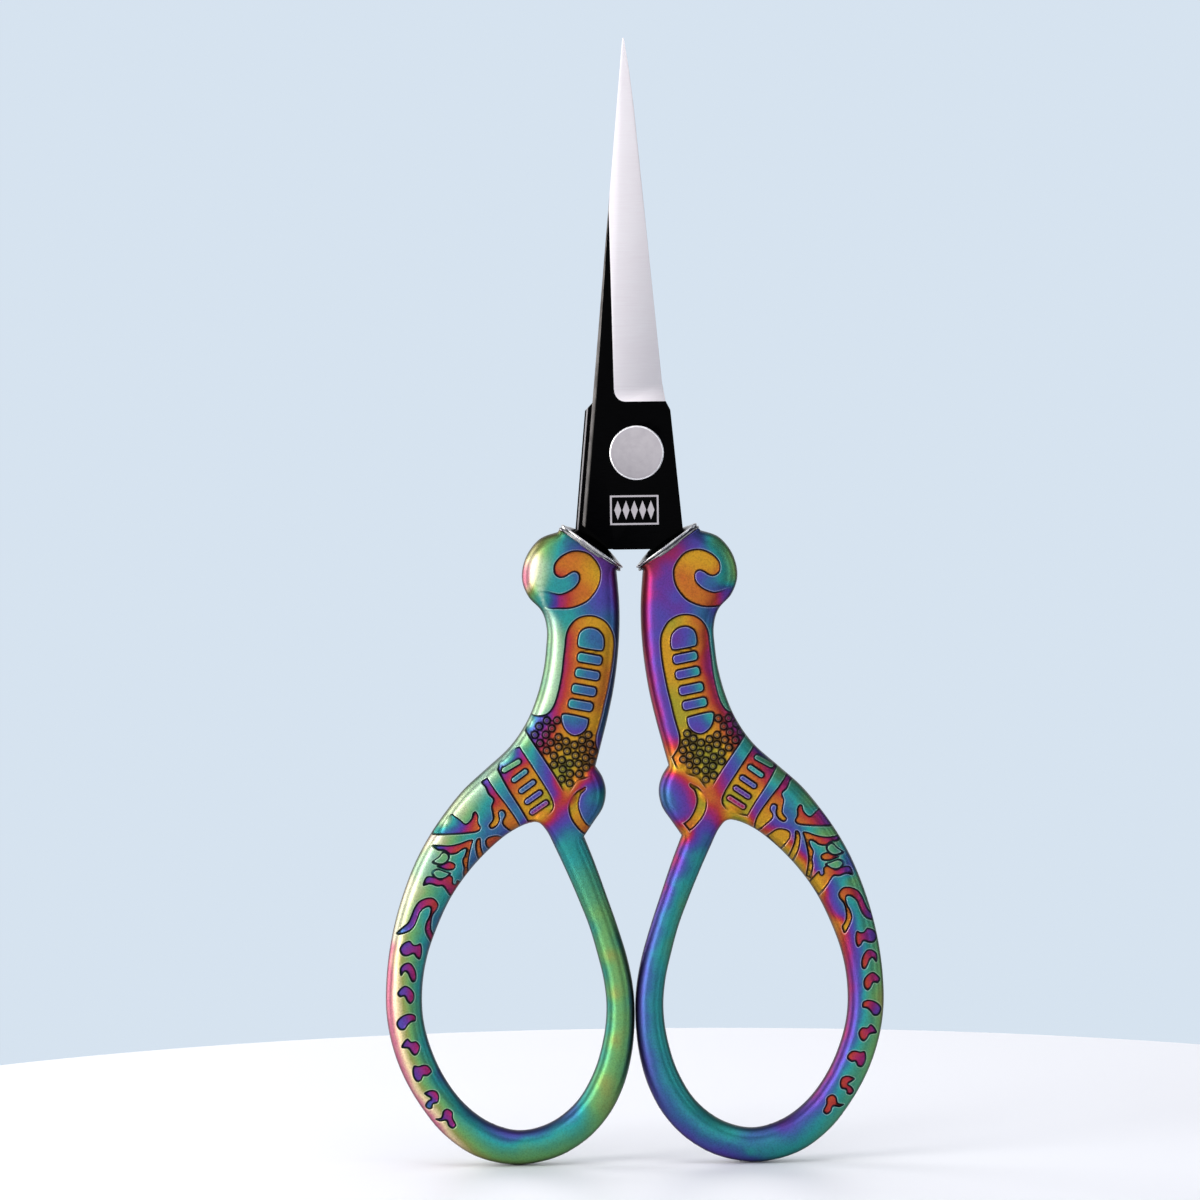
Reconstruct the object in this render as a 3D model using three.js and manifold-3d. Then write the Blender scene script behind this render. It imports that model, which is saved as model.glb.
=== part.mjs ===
// Fine-point craft scissors with ornate cast handles, modelled closed and upright, in millimetres.
// X runs across the handles, Y from the front face to the back, Z from the finger bows up to the tip.
// The front blade is fixed in the right handle and the rear blade in the left one.

import * as THREE from "three";
import { mergeVertices } from "three/addons/utils/BufferGeometryUtils.js";
import Module from "manifold-3d";

const wasm = await Module();
wasm.setup();

// ---- driving dimensions -------------------------------------------------------------------------

const overallLength = 128;

const pivotX = 0.95;
const pivotZ = 81.1;

const bladeThickness = 1.5;
const bladeFaceGap = 0.04; // between the two inner faces
const spineSlope = 0.0962; // half-width gained per millimetre below the tip, on the spine side
const tipHalfWidth = 0.09;
const grindEndZ = 86.9; // the shoulder where the ground face stops
const frontEdge = [[0.62, 124.6], [1.12, 120.3], [3.95, 89], [4.33, grindEndZ]];
const rearEdge = [[0.25, 124.6], [0.68, 120.3], [3.62, 89], [3.9, grindEndZ]];
const grindStartX = -1.5; // where the ground face meets the flat at the shoulder
const edgeThickness = 0.3;
const tipThinning = 0.75; // how much thinner the outer face is at the tip
const spineChamfer = 0.4;
const shoulderRadius = 1.3; // the rounded corner of the ground face, on the spine side
const shoulderFlare = 8; // how far the area that may be ground widens above that corner
const shoulderFlareRise = 20;
const ricassoTopX = 4.84;
const ricassoTopZ = 85.9;
const ricassoBottomX = 6.08;
const ricassoBottomZ = 72.6;
const heelZ = 70.15;
const heelSpineX = -1.8;
const spineEndZ = 73; // where the spine turns in to the heel
const tangRootX = 2.65; // the tang's inner side at the heel
const tangInnerX = 4.6; // and at its end
const tangOuterX = 6.7;
const tangEndZ = 61.6;
const socketGap = 0.15;
const socketSlantShare = 1.3; // the same gap measured along X at the slanted inner side
const socketRise = 2; // how far the socket opens above the tang's root

const shankHalfThickness = 2.6;
const bowHalfThickness = 2.15;
const thickAboveZ = 50;
const thinBelowZ = 36;
const handleRounding = 1.15;
const handleRoundingDepth = 1.3;
const roundingSteps = 3;
const handleCurveSteps = 2; // between two points of the outline

const collarX = 4.25;
const collarZ = 70.5;
const collarAngle = THREE.MathUtils.degToRad(35.5);
const collarHalfLength = 4.25;
const collarHalfThickness = 2.75;
const collarRimDepth = 0.9;
const collarChamfer = 0.35; // at the lower edge of the rim
const collarRimTaper = 0.05; // how much narrower the rim is just above that chamfer
const collarRimTop = [-0.1, 0.3]; // heights of the widest ring and of the rim's upper edge
const collarRimInset = 0.15; // how far in the upper edge lies
const collarCrownRings = [[0.76, 0.62], [0.4, 0.92]]; // [share of the half length, height]
const collarCrown = 1.02;

const headRadius = 3.12;
const headThickness = 0.5;
const headProud = 0.1;
const headRim = 0.12;
const barrelRadius = 1.5;
const runningGap = 0.05;
const screwRadius = 0.95;
const screwHeadRadius = 2.7;
const screwHeadThickness = 0.8;
const screwHeadCrown = 0.15;
const screwHeadCrownWidth = 0.35;
const screwSlotWidth = 0.6;
const screwSlotDepth = 0.35;
const screwSlotAngle = Math.PI / 5;
const screwTipChamfer = [0.15, 0.2]; // [inwards, along the axis]
const threadBottomY = -0.7;
const threadEndGap = 0.2; // between the screw's tip and the bottom of its hole
const washerThickness = 0.2;
const washerInnerGap = 0.2; // round the barrel
const washerOuterRadius = 2.6;
const stackGap = 0.03;

const roundSegments = 48;
const collarSegments = 32;
const shoulderSegments = 6;
const cutterOverrun = 1; // how far a cutter reaches past the face that it cuts
const outlineOverrun = 5; // and past the blade's outline
const boreHalfLength = 5;
const planeCutterSize = 200;
const mergeDistance = 1e-4;

// ---- materials ----------------------------------------------------------------------------------

const colours = {
  blackSteel: { color: 0x08080a, roughness: 0.22, metalness: 0.7 },
  rainbowZinc: { color: 0x3f7f8c, roughness: 0.3, metalness: 0.95 },
  satinSteel: { color: 0xc9c8cf, roughness: 0.32, metalness: 1.0 },
};

function material(name) {
  return new THREE.MeshStandardMaterial({ name, ...colours[name] });
}

// ---- closed solids, ready to be joined and cut --------------------------------------------------

function solid(geometry) {
  const bare = geometry.index ? geometry.toNonIndexed() : geometry.clone();
  bare.deleteAttribute("normal");
  bare.deleteAttribute("uv");
  const merged = mergeVertices(bare, mergeDistance);
  return new wasm.Manifold(
    new wasm.Mesh({
      numProp: 3,
      vertProperties: new Float32Array(merged.attributes.position.array),
      triVerts: new Uint32Array(merged.index.array),
    }),
  );
}

function geometryOf(body) {
  const mesh = body.getMesh();
  const positions = new Float32Array(mesh.vertProperties);
  const geometry = new THREE.BufferGeometry();
  geometry.setAttribute("position", new THREE.BufferAttribute(positions, 3));
  geometry.setIndex(new THREE.BufferAttribute(new Uint32Array(mesh.triVerts), 1));
  return geometry;
}

// ---- shared shapes ------------------------------------------------------------------------------

function points(list) {
  return list.map(([x, z]) => new THREE.Vector2(x, z));
}

// A plate whose outline lies in the XZ plane, between two values of Y.
function plate(shape, frontY, backY, curveSegments = 12) {
  const depth = backY - frontY;
  const geometry = new THREE.ExtrudeGeometry(shape, { depth, bevelEnabled: false, curveSegments });
  geometry.rotateX(Math.PI / 2);
  geometry.translate(0, backY, 0);
  return geometry;
}

// A turned piece about the pivot axis, from a profile of [radius, y] pairs that closes on itself.
function turned(profile) {
  const outline = profile.map(([radius, y]) => new THREE.Vector2(radius, y));
  outline.push(outline[0].clone());
  const geometry = new THREE.LatheGeometry(outline, roundSegments);
  geometry.translate(pivotX, 0, pivotZ);
  return geometry;
}

// A disc or ring cutter about the pivot axis.
function pivotCylinder(radius, frontY, backY) {
  const geometry = new THREE.CylinderGeometry(radius, radius, backY - frontY, roundSegments);
  geometry.translate(pivotX, (frontY + backY) / 2, pivotZ);
  return geometry;
}

// Turns a piece half a turn about Z: the front blade becomes the rear one.
function halfTurn(geometry) {
  return geometry.rotateZ(Math.PI);
}

// Mirrors a piece left to right and keeps its faces pointing out.
function mirrorX(geometry) {
  const mirrored = geometry.clone();
  mirrored.scale(-1, 1, 1);
  const index = mirrored.index;
  for (let i = 0; i < index.count; i += 3) {
    const first = index.getX(i);
    index.setX(i, index.getX(i + 1));
    index.setX(i + 1, first);
  }
  return mirrored;
}

// ---- blades -------------------------------------------------------------------------------------

const frontFaceY = -bladeFaceGap / 2 - bladeThickness;
const innerFaceY = -bladeFaceGap / 2;

// The tang and heel that go into the handle, grown by the gap that their socket needs.
function socketOutline() {
  const topZ = ricassoBottomZ + socketRise;
  return points([
    [ricassoBottomX + socketGap, topZ],
    [tangOuterX + socketGap, tangEndZ - socketGap],
    [tangInnerX - socketGap, tangEndZ - socketGap],
    [tangRootX - socketGap * socketSlantShare, heelZ - socketGap],
    [0, heelZ - socketGap],
    [0, topZ],
  ]);
}

function bladeOutline(cuttingEdge) {
  return points([
    [-tipHalfWidth, overallLength],
    [tipHalfWidth, overallLength],
    ...cuttingEdge,
    [ricassoTopX, ricassoTopZ],
    [ricassoBottomX, ricassoBottomZ],
    [tangOuterX, tangEndZ],
    [tangInnerX, tangEndZ],
    [tangRootX, heelZ],
    [heelSpineX, heelZ],
    [-spineSlope * (overallLength - spineEndZ), spineEndZ],
  ]);
}

// A cutter that removes everything in front of a plane. The plane's depth behind the front face is
// `depth` at (x, z), and it grows by slopeX to the right and by slopeZ upwards.
function frontCutter(x, z, depth, slopeX, slopeZ) {
  const box = new THREE.BoxGeometry(planeCutterSize, planeCutterSize, planeCutterSize);
  box.translate(0, -planeCutterSize / 2, 0);
  const across = new THREE.Vector3(1, slopeX, 0).normalize();
  const inwards = new THREE.Vector3(-slopeX, 1, -slopeZ).normalize();
  const up = new THREE.Vector3().crossVectors(across, inwards).normalize();
  box.applyMatrix4(new THREE.Matrix4().makeBasis(across, inwards, up));
  box.translate(x, frontFaceY + depth, z);
  return box;
}

// Keeps a cutter to the blade above the shoulder, with a rounded lower corner on the spine side.
function aboveShoulder() {
  const arcX = grindStartX + shoulderRadius;
  const arcZ = grindEndZ + shoulderRadius;
  const leftX = grindStartX - shoulderFlare;
  const rightX = ricassoBottomX + outlineOverrun;
  const topZ = overallLength + outlineOverrun;
  const outline = new THREE.Shape();
  outline.moveTo(rightX, grindEndZ);
  outline.lineTo(arcX, grindEndZ);
  outline.absarc(arcX, arcZ, shoulderRadius, -Math.PI / 2, -Math.PI, true);
  outline.lineTo(leftX, grindEndZ + shoulderFlareRise);
  outline.lineTo(leftX, topZ);
  outline.lineTo(rightX, topZ);
  outline.closePath();
  return plate(outline, frontFaceY - cutterOverrun, bladeThickness, shoulderSegments);
}

// A whole blade but for its holes, with its cutting edge on the right and its ground face in front.
function bladeBlank(cuttingEdge) {
  const shape = new THREE.Shape(bladeOutline(cuttingEdge));
  let blade = solid(plate(shape, frontFaceY, innerFaceY));

  const bladeRun = overallLength - grindEndZ;
  blade = blade.subtract(solid(frontCutter(0, grindEndZ, 0, 0, tipThinning / bladeRun)));

  const edgeDepth = bladeThickness - edgeThickness;
  const shoulderX = cuttingEdge.at(-1)[0];
  const grindWidth = shoulderX - grindStartX;
  const slopeX = edgeDepth / grindWidth;
  const slopeZ = (edgeDepth + slopeX * grindStartX) / bladeRun;
  const grind = solid(frontCutter(grindStartX, grindEndZ, 0, slopeX, slopeZ));
  blade = blade.subtract(grind.intersect(solid(aboveShoulder())));

  const spineX = -spineSlope * bladeRun;
  return blade.subtract(solid(frontCutter(spineX + spineChamfer, grindEndZ, 0, -1, spineSlope)));
}

// The bore that the pivot's barrel turns in.
function bore() {
  return solid(pivotCylinder(barrelRadius + runningGap, -boreHalfLength, boreHalfLength));
}

function frontBlade() {
  const seatY = frontFaceY + headThickness - headProud;
  const seat = pivotCylinder(headRadius + runningGap, frontFaceY - cutterOverrun, seatY);
  return geometryOf(bladeBlank(frontEdge).subtract(solid(seat)).subtract(bore()));
}

function rearBlade() {
  const turnedBlank = solid(halfTurn(geometryOf(bladeBlank(rearEdge))));
  return geometryOf(turnedBlank.subtract(bore()));
}

// ---- handles ------------------------------------------------------------------------------------

// The right handle's outline: scroll head, outside of the shank, bow, inner arm, knob and shank.
function handleOutline() {
  const outline = new THREE.Shape();
  outline.moveTo(8.1, 72.2);
  outline.splineThru(
    points([
      [10.2, 71.4], [11.75, 69.4], [12.25, 67.0], [11.55, 64.9], [10.05, 63.2], [9.5, 61.2],
      [9.6, 59.0], [9.95, 56.4], [10.75, 53.4], [12.0, 50.5], [13.9, 47.8], [16.6, 45.35],
      [19.2, 43.0], [21.35, 40.4], [23.15, 37.8], [24.7, 35.0], [25.95, 32.0], [27.05, 28.6],
      [27.85, 25.0], [28.3, 21.3], [28.35, 17.6], [27.75, 13.9], [26.5, 10.3], [24.55, 6.8],
      [21.9, 3.5], [18.3, 1.0], [13.8, 0.0], [9.3, 0.75], [5.7, 2.8], [3.1, 5.6], [1.4, 8.9],
      [0.45, 12.4], [0.06, 16.0], [0.12, 19.6], [0.75, 23.3], [1.85, 27.1], [3.1, 30.8],
      [4.35, 34.4], [5.55, 37.5],
    ]),
  );
  outline.splineThru(
    points([[4.45, 39.1], [3.35, 40.8], [3.0, 42.6], [3.35, 44.2], [4.15, 45.5]]),
  );
  outline.splineThru(
    points([
      [3.4, 48.3], [2.7, 51.0], [2.0, 54.2], [1.5, 57.6], [1.23, 61.0], [1.22, 64.2],
      [1.5, 67.9],
    ]),
  );
  outline.closePath();
  outline.holes.push(fingerHole());
  return outline;
}

function fingerHole() {
  const hole = new THREE.Path();
  hole.moveTo(11.15, 39.2);
  hole.splineThru(
    points([
      [9.9, 38.3], [8.7, 35.9], [7.4, 33.0], [6.2, 30.1], [5.1, 27.2], [4.2, 24.0], [3.5, 20.9],
      [3.25, 17.7], [3.65, 14.3], [4.75, 10.6], [6.75, 7.2], [9.7, 4.85], [13.2, 3.95],
      [16.6, 4.85], [19.5, 7.0], [21.75, 10.0], [23.3, 13.4], [24.15, 16.9], [24.2, 20.5],
      [23.6, 24.0], [22.4, 27.4], [20.75, 30.8], [18.6, 33.8], [16.1, 36.4], [13.6, 38.3],
      [11.15, 39.2],
    ]),
  );
  return hole;
}

// Half the handle's thickness: full at the shank, eased down to the bow.
function halfThicknessAt(z) {
  const share = THREE.MathUtils.smoothstep(z, thinBelowZ, thickAboveZ);
  return THREE.MathUtils.lerp(bowHalfThickness, shankHalfThickness, share);
}

function handleBody() {
  const depth = 2 * (shankHalfThickness - handleRoundingDepth);
  const geometry = new THREE.ExtrudeGeometry(handleOutline(), {
    depth,
    curveSegments: handleCurveSteps,
    bevelThickness: handleRoundingDepth,
    bevelSize: handleRounding,
    bevelOffset: -handleRounding,
    bevelSegments: roundingSteps,
  });
  geometry.translate(0, 0, -depth / 2);
  geometry.rotateX(Math.PI / 2);
  const position = geometry.attributes.position;
  for (let i = 0; i < position.count; i += 1) {
    position.setY(i, (position.getY(i) * halfThicknessAt(position.getZ(i))) / shankHalfThickness);
  }
  return solid(geometry);
}

// The oval, crowned collar at the mouth of the handle.
function collar() {
  const [widestZ, upperEdgeZ] = collarRimTop;
  const profile = points([
    [0, -collarRimDepth],
    [collarHalfLength - collarChamfer, -collarRimDepth],
    [collarHalfLength - collarRimTaper, -collarRimDepth + collarChamfer],
    [collarHalfLength, widestZ],
    [collarHalfLength - collarRimInset, upperEdgeZ],
    ...collarCrownRings.map(([share, height]) => [collarHalfLength * share, height]),
    [0, collarCrown],
  ]);
  const geometry = new THREE.LatheGeometry(profile, collarSegments);
  geometry.scale(1, 1, collarHalfThickness / collarHalfLength);
  geometry.rotateX(Math.PI / 2);
  geometry.rotateY(-collarAngle);
  geometry.translate(collarX, 0, collarZ);
  return solid(geometry);
}

function socket() {
  const shape = new THREE.Shape(socketOutline());
  return solid(plate(shape, frontFaceY - socketGap, innerFaceY + socketGap));
}

function rightHandle() {
  return geometryOf(handleBody().add(collar()).subtract(socket()));
}

// The left handle mirrors the right one, with its socket behind the middle for the rear blade.
function leftHandle() {
  const body = solid(mirrorX(geometryOf(handleBody().add(collar()))));
  return geometryOf(body.subtract(solid(halfTurn(geometryOf(socket())))));
}

// ---- pivot --------------------------------------------------------------------------------------

const headFrontY = frontFaceY - headProud;
const headBackY = headFrontY + headThickness - runningGap;
const rearFaceY = -frontFaceY;
const washerFrontY = rearFaceY + stackGap;
const washerBackY = washerFrontY + washerThickness;
const screwHeadFrontY = washerBackY + stackGap;
const screwHeadBackY = screwHeadFrontY + screwHeadThickness;
const threadRadius = screwRadius + runningGap;

function pivotNut() {
  return turned([
    [0, headFrontY],
    [headRadius - headRim, headFrontY],
    [headRadius, headFrontY + headRim],
    [headRadius, headBackY],
    [barrelRadius, headBackY],
    [barrelRadius, rearFaceY],
    [threadRadius, rearFaceY],
    [threadRadius, threadBottomY],
    [0, threadBottomY],
  ]);
}

function waveWasher() {
  const innerRadius = barrelRadius + washerInnerGap;
  return turned([
    [innerRadius, washerFrontY],
    [washerOuterRadius, washerFrontY],
    [washerOuterRadius, washerBackY],
    [innerRadius, washerBackY],
  ]);
}

function pivotScrew() {
  const [tipInset, tipRise] = screwTipChamfer;
  const tipY = threadBottomY + threadEndGap;
  const blank = solid(
    turned([
      [0, tipY],
      [screwRadius - tipInset, tipY],
      [screwRadius, tipY + tipRise],
      [screwRadius, screwHeadFrontY],
      [screwHeadRadius, screwHeadFrontY],
      [screwHeadRadius, screwHeadBackY - screwHeadCrown],
      [screwHeadRadius - screwHeadCrownWidth, screwHeadBackY],
      [0, screwHeadBackY],
    ]),
  );
  const slotLength = 2 * screwHeadRadius + cutterOverrun;
  const slot = new THREE.BoxGeometry(slotLength, 2 * screwSlotDepth, screwSlotWidth);
  slot.rotateY(screwSlotAngle);
  slot.translate(pivotX, screwHeadBackY, pivotZ);
  return geometryOf(blank.subtract(solid(slot)));
}

// ---- the assembly -------------------------------------------------------------------------------

const scissors = new THREE.Group();

function place(name, geometry, materialName) {
  const mesh = new THREE.Mesh(geometry, material(materialName));
  mesh.name = name;
  scissors.add(mesh);
}

place("front_blade", frontBlade(), "blackSteel");
place("rear_blade", rearBlade(), "blackSteel");
place("right_handle", rightHandle(), "rainbowZinc");
place("left_handle", leftHandle(), "rainbowZinc");
place("pivot_nut", pivotNut(), "satinSteel");
place("pivot_screw", pivotScrew(), "satinSteel");
place("wave_washer", waveWasher(), "satinSteel");

export default scissors;
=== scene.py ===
"""Fine-point craft scissors with cast rainbow-plated handles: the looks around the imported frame."""

import math

import bmesh
import bpy
import numpy as np
from mathutils import Matrix, Vector
from mathutils.geometry import delaunay_2d_cdt


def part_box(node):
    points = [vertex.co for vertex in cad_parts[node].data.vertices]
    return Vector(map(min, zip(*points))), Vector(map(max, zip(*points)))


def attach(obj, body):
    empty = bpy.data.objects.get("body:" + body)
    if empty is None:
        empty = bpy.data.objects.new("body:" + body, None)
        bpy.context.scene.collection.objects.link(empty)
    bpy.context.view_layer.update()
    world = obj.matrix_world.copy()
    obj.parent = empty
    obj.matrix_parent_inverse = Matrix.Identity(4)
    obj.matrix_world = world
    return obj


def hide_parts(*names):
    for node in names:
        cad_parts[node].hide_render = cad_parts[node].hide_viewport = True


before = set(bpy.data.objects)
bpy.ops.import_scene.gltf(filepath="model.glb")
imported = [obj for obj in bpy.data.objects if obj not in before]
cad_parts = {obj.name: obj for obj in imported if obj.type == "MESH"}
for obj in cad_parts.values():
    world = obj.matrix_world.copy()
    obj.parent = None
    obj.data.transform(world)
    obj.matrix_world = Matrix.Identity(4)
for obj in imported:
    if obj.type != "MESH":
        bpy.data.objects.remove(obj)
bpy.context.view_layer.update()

MM = 0.001

# ---- the handle's outline, right-hand handle, as (x, z) in millimetres ----------------------------

OUTSIDE = [
    (8.1, 72.2), (10.2, 71.4), (11.75, 69.4), (12.25, 67), (11.55, 64.9), (10.05, 63.2), (9.5, 61.2),
    (9.6, 59), (9.95, 56.4), (10.75, 53.4), (12, 50.5), (13.9, 47.8), (16.6, 45.35), (19.2, 43),
    (21.35, 40.4), (23.15, 37.8), (24.7, 35), (25.95, 32), (27.05, 28.6), (27.85, 25), (28.3, 21.3),
    (28.35, 17.6), (27.75, 13.9), (26.5, 10.3), (24.55, 6.8), (21.9, 3.5), (18.3, 1), (13.8, 0),
    (9.3, 0.75), (5.7, 2.8), (3.1, 5.6), (1.4, 8.9), (0.45, 12.4), (0.06, 16), (0.12, 19.6),
    (0.75, 23.3), (1.85, 27.1), (3.1, 30.8), (4.35, 34.4), (5.55, 37.5),
]
KNOB = [(5.55, 37.5), (4.45, 39.1), (3.35, 40.8), (3, 42.6), (3.35, 44.2), (4.15, 45.5)]
SHANK = [
    (4.15, 45.5), (3.4, 48.3), (2.7, 51), (2, 54.2), (1.5, 57.6), (1.23, 61), (1.22, 64.2), (1.5, 67.9),
]
FINGER_HOLE = [
    (11.15, 39.2), (9.9, 38.3), (8.7, 35.9), (7.4, 33), (6.2, 30.1), (5.1, 27.2), (4.2, 24), (3.5, 20.9),
    (3.25, 17.7), (3.65, 14.3), (4.75, 10.6), (6.75, 7.2), (9.7, 4.85), (13.2, 3.95), (16.6, 4.85),
    (19.5, 7), (21.75, 10), (23.3, 13.4), (24.15, 16.9), (24.2, 20.5), (23.6, 24), (22.4, 27.4),
    (20.75, 30.8), (18.6, 33.8), (16.1, 36.4), (13.6, 38.3),
]

BOW_LIMIT = 2.5  # what half the thickness tends to on the finger bow
SHANK_LIMIT = 2.78  # and on the shank
BOW_FULLNESS = 0.86  # how far in from the edge the section fills out, as a share of the limit
SHANK_FULLNESS = 1.0
BOW_FLATNESS = 5.5  # how suddenly the section levels off
SHANK_FLATNESS = 3.0
THIN_BELOW = 36  # the bow's section below this height, and the shank's above the next
THICK_ABOVE = 50

# ---- the collar at the handle's mouth -----------------------------------------------------------

COLLAR_CENTRE = (4.25, 70.5)
COLLAR_ANGLE = math.radians(35.5)
COLLAR_HALF_LENGTH = 4.25
COLLAR_HALF_THICKNESS = 2.75
COLLAR_PROFILE = [  # share of the half size, height above the centre, brightness, which is a painted highlight on the rim's lips
    (0, -0.62, 0), (0.8, -0.62, 0), (0.94, -0.6, 0.05), (0.985, -0.52, 0.25), (1, -0.42, 0.4),
    (0.995, -0.32, 0.3), (0.975, -0.25, 0.05), (0.965, -0.18, 0), (0.975, -0.11, 0.1),
    (0.995, -0.04, 0.8), (1, 0.06, 1), (0.985, 0.15, 0.9), (0.95, 0.2, 0.3), (0.9, 0.22, 0),
    (0.84, 0.3, 0), (0.7, 0.5, 0), (0.5, 0.72, 0), (0.25, 0.88, 0), (0, 0.93, 0),
]
COLLAR_GROOVE = (-0.35, -0.08)  # the heights between which the rim's groove lies
LEFT_GROOVE_HIGHLIGHT = 0.45  # a painted highlight in the left collar's groove too
COLLAR_STEPS = 120  # round the rim

# ---- the relief ---------------------------------------------------------------------------------

# Sunk ground, as closed smooth outlines. A point given twice is a corner.
SCROLL = [
    (8.56, 67.6), (8.56, 68.5), (8.16, 69.16), (7.5, 69.7), (6.55, 70.1), (5.6, 70.13), (4.6, 69.8),
    (3.8, 69), (3.3, 68), (3.27, 67.06), (3.5, 66.1), (4.1, 65.1), (4.9, 64.3), (6.06, 63.76),
    (7, 63.55), (8.16, 63.55), (9.3, 63.6), (10.4, 64.2), (10.4, 65.2), (9.6, 65.6), (8.65, 65.37),
    (7.85, 65.26), (6.9, 65.6), (6.2, 66.1), (5.8, 66.7), (5.8, 67.4), (6.2, 67.7), (6.7, 67.55),
    (7.35, 67.15), (8, 67.1),
]
PANEL = [
    (11.6, 51.6), (10.8, 51.5), (10.1, 51.53), (9.45, 51.8), (8.9, 52.5), (8.5, 53.5), (8.16, 54.8),
    (7.87, 56.3), (7.68, 57.9), (7.5, 59.2), (7.35, 60.45), (7.03, 61.4), (6.4, 62.2), (5.6, 62.66),
    (4.6, 62.8), (3.65, 62.6), (2.7, 62), (2.03, 60.9), (1.8, 59.8), (1.87, 58.5), (2.03, 57.2),
    (2.27, 55.9), (2.6, 54.3), (3, 52.7), (3.3, 51.4), (3.7, 50), (3.97, 49), (4, 48), (3.7, 47.2),
    (3.2, 46.4), (3.2, 46.4), (3.9, 45), (5, 44.4), (6.2, 43.9), (7, 42.9), (7.5, 42.2), (7.7, 42.6),
    (9.05, 45), (12.1, 49.7), (12.1, 49.7), (11.9, 50.6),
]
BAR_FIELD = [
    (13.6, 47.6), (12.73, 48), (12.73, 48), (11.03, 45.35), (9, 41.8), (9.4, 40.3), (10.9, 39.6),
    (11.9, 39.4), (11.9, 39.4), (12.8, 41), (14.1, 43.1), (15.3, 45.35), (15.3, 45.35), (15, 46.3),
]
LEAF_HIGH = [
    (17.16, 43.98), (16.7, 43.4), (16.35, 42.6), (15.8, 42), (16.03, 41.2), (15.9, 40.35), (15.9, 39.7),
    (16.35, 39.06), (16.03, 38.66), (15.4, 39), (15.06, 39.7), (15.15, 40.5), (14.74, 40.7),
    (14.5, 40.2), (14.8, 39.55), (14.66, 38.98), (13.7, 38.1), (12.6, 37), (12.6, 37), (12.8, 39),
    (14.1, 41.16), (15.4, 42.9), (16.44, 44.5), (16.44, 44.5),
]
LEAF_MIDDLE = [
    (20.6, 40.4), (20.3, 40.27), (19.6, 39.8), (18.94, 39.3), (18.3, 39.87), (18.13, 40.5),
    (17.8, 40.68), (17.5, 40.2), (17.5, 39.4), (17.24, 38.8), (17.65, 38.34), (18.94, 38.15),
    (20.55, 38.05), (22.3, 38), (22.9, 38.1), (22.3, 39.2),
]
LEAF_LOW = [
    (22.9, 36.9), (21.9, 36.9), (20.8, 36.85), (19.74, 37.05), (18.6, 37.45), (18.13, 37.4),
    (18.3, 36.8), (18.53, 35.84), (18.7, 34.87), (18.74, 33.9), (18.5, 32.2), (18.5, 32.2), (19.1, 31.9),
    (19.1, 31.9), (19.35, 33.4), (19.26, 34.2), (19.4, 35.1), (19.1, 35.76), (18.94, 36.4), (19.4, 36.3),
    (20, 35.9), (20.8, 35.8), (21.4, 36.2), (22.2, 36.3),
]
LEAF_SLIVER = [
    (17.7, 37.5), (17.3, 37.6), (17.24, 36.8), (17.08, 36), (16.4, 34.3), (16.4, 34.3), (17, 33.7),
    (17, 33.7), (17.7, 35.4), (17.9, 36.8),
]
LEAF_INNER = [
    (16.7, 37.45), (16.2, 37.8), (15.2, 37.85), (14, 37), (14, 37), (15.6, 35.2), (15.6, 35.2),
    (16.5, 36.4), (16.75, 36.9),
]
BERRY = [
    (22.3, 34.5), (21.5, 34.8), (20.87, 35.03), (20.2, 34.7), (20.3, 34.15), (20.87, 34), (21.5, 34.1),
]
LEAF_FOOT = [
    (23.5, 33.3), (22.6, 33.3), (21.9, 33), (21.4, 33.3), (20.9, 33.45), (20.5, 33.2), (20.47, 32.5),
    (20.2, 32.4), (19.9, 32.8), (18.7, 31.3), (18.7, 31.3), (20, 29.8), (20, 29.8), (21, 31.2),
    (21.35, 31.8), (21.7, 32.2), (22.3, 32.2), (23.1, 32.45), (23.9, 32.3),
]
RIBBON = [
    (27.06, 26.84), (26.34, 27.56), (25.7, 28.1), (25.3, 28.9), (24.97, 29.7), (24.4, 30.5),
    (23.5, 30.9), (22.7, 30.84), (22.2, 30.2), (22.3, 29.6), (22.8, 28.9), (23, 28.1), (23.03, 27.2),
    (22.8, 26.6), (22.6, 26.2), (22.9, 25.4), (23.4, 26.2), (23.76, 27.2), (23.6, 28.1), (23.2, 28.9),
    (23.1, 29.75), (23.6, 29.8), (24.2, 29.3), (24.5, 28.6), (24.9, 27.7), (25.5, 27.1), (26.6, 26.7),
]
CRESCENT = [
    (5.37, 43.35), (6.3, 42.8), (7.1, 41.8), (7.25, 40.7), (6.9, 39.5), (6, 38.3), (5.3, 37.7),
    (5.3, 37.7), (4.6, 38.6), (4.6, 38.6), (5.3, 39.2), (5.85, 40.2), (6.1, 41.3), (5.85, 42.4),
    (5.3, 43),
]
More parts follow.
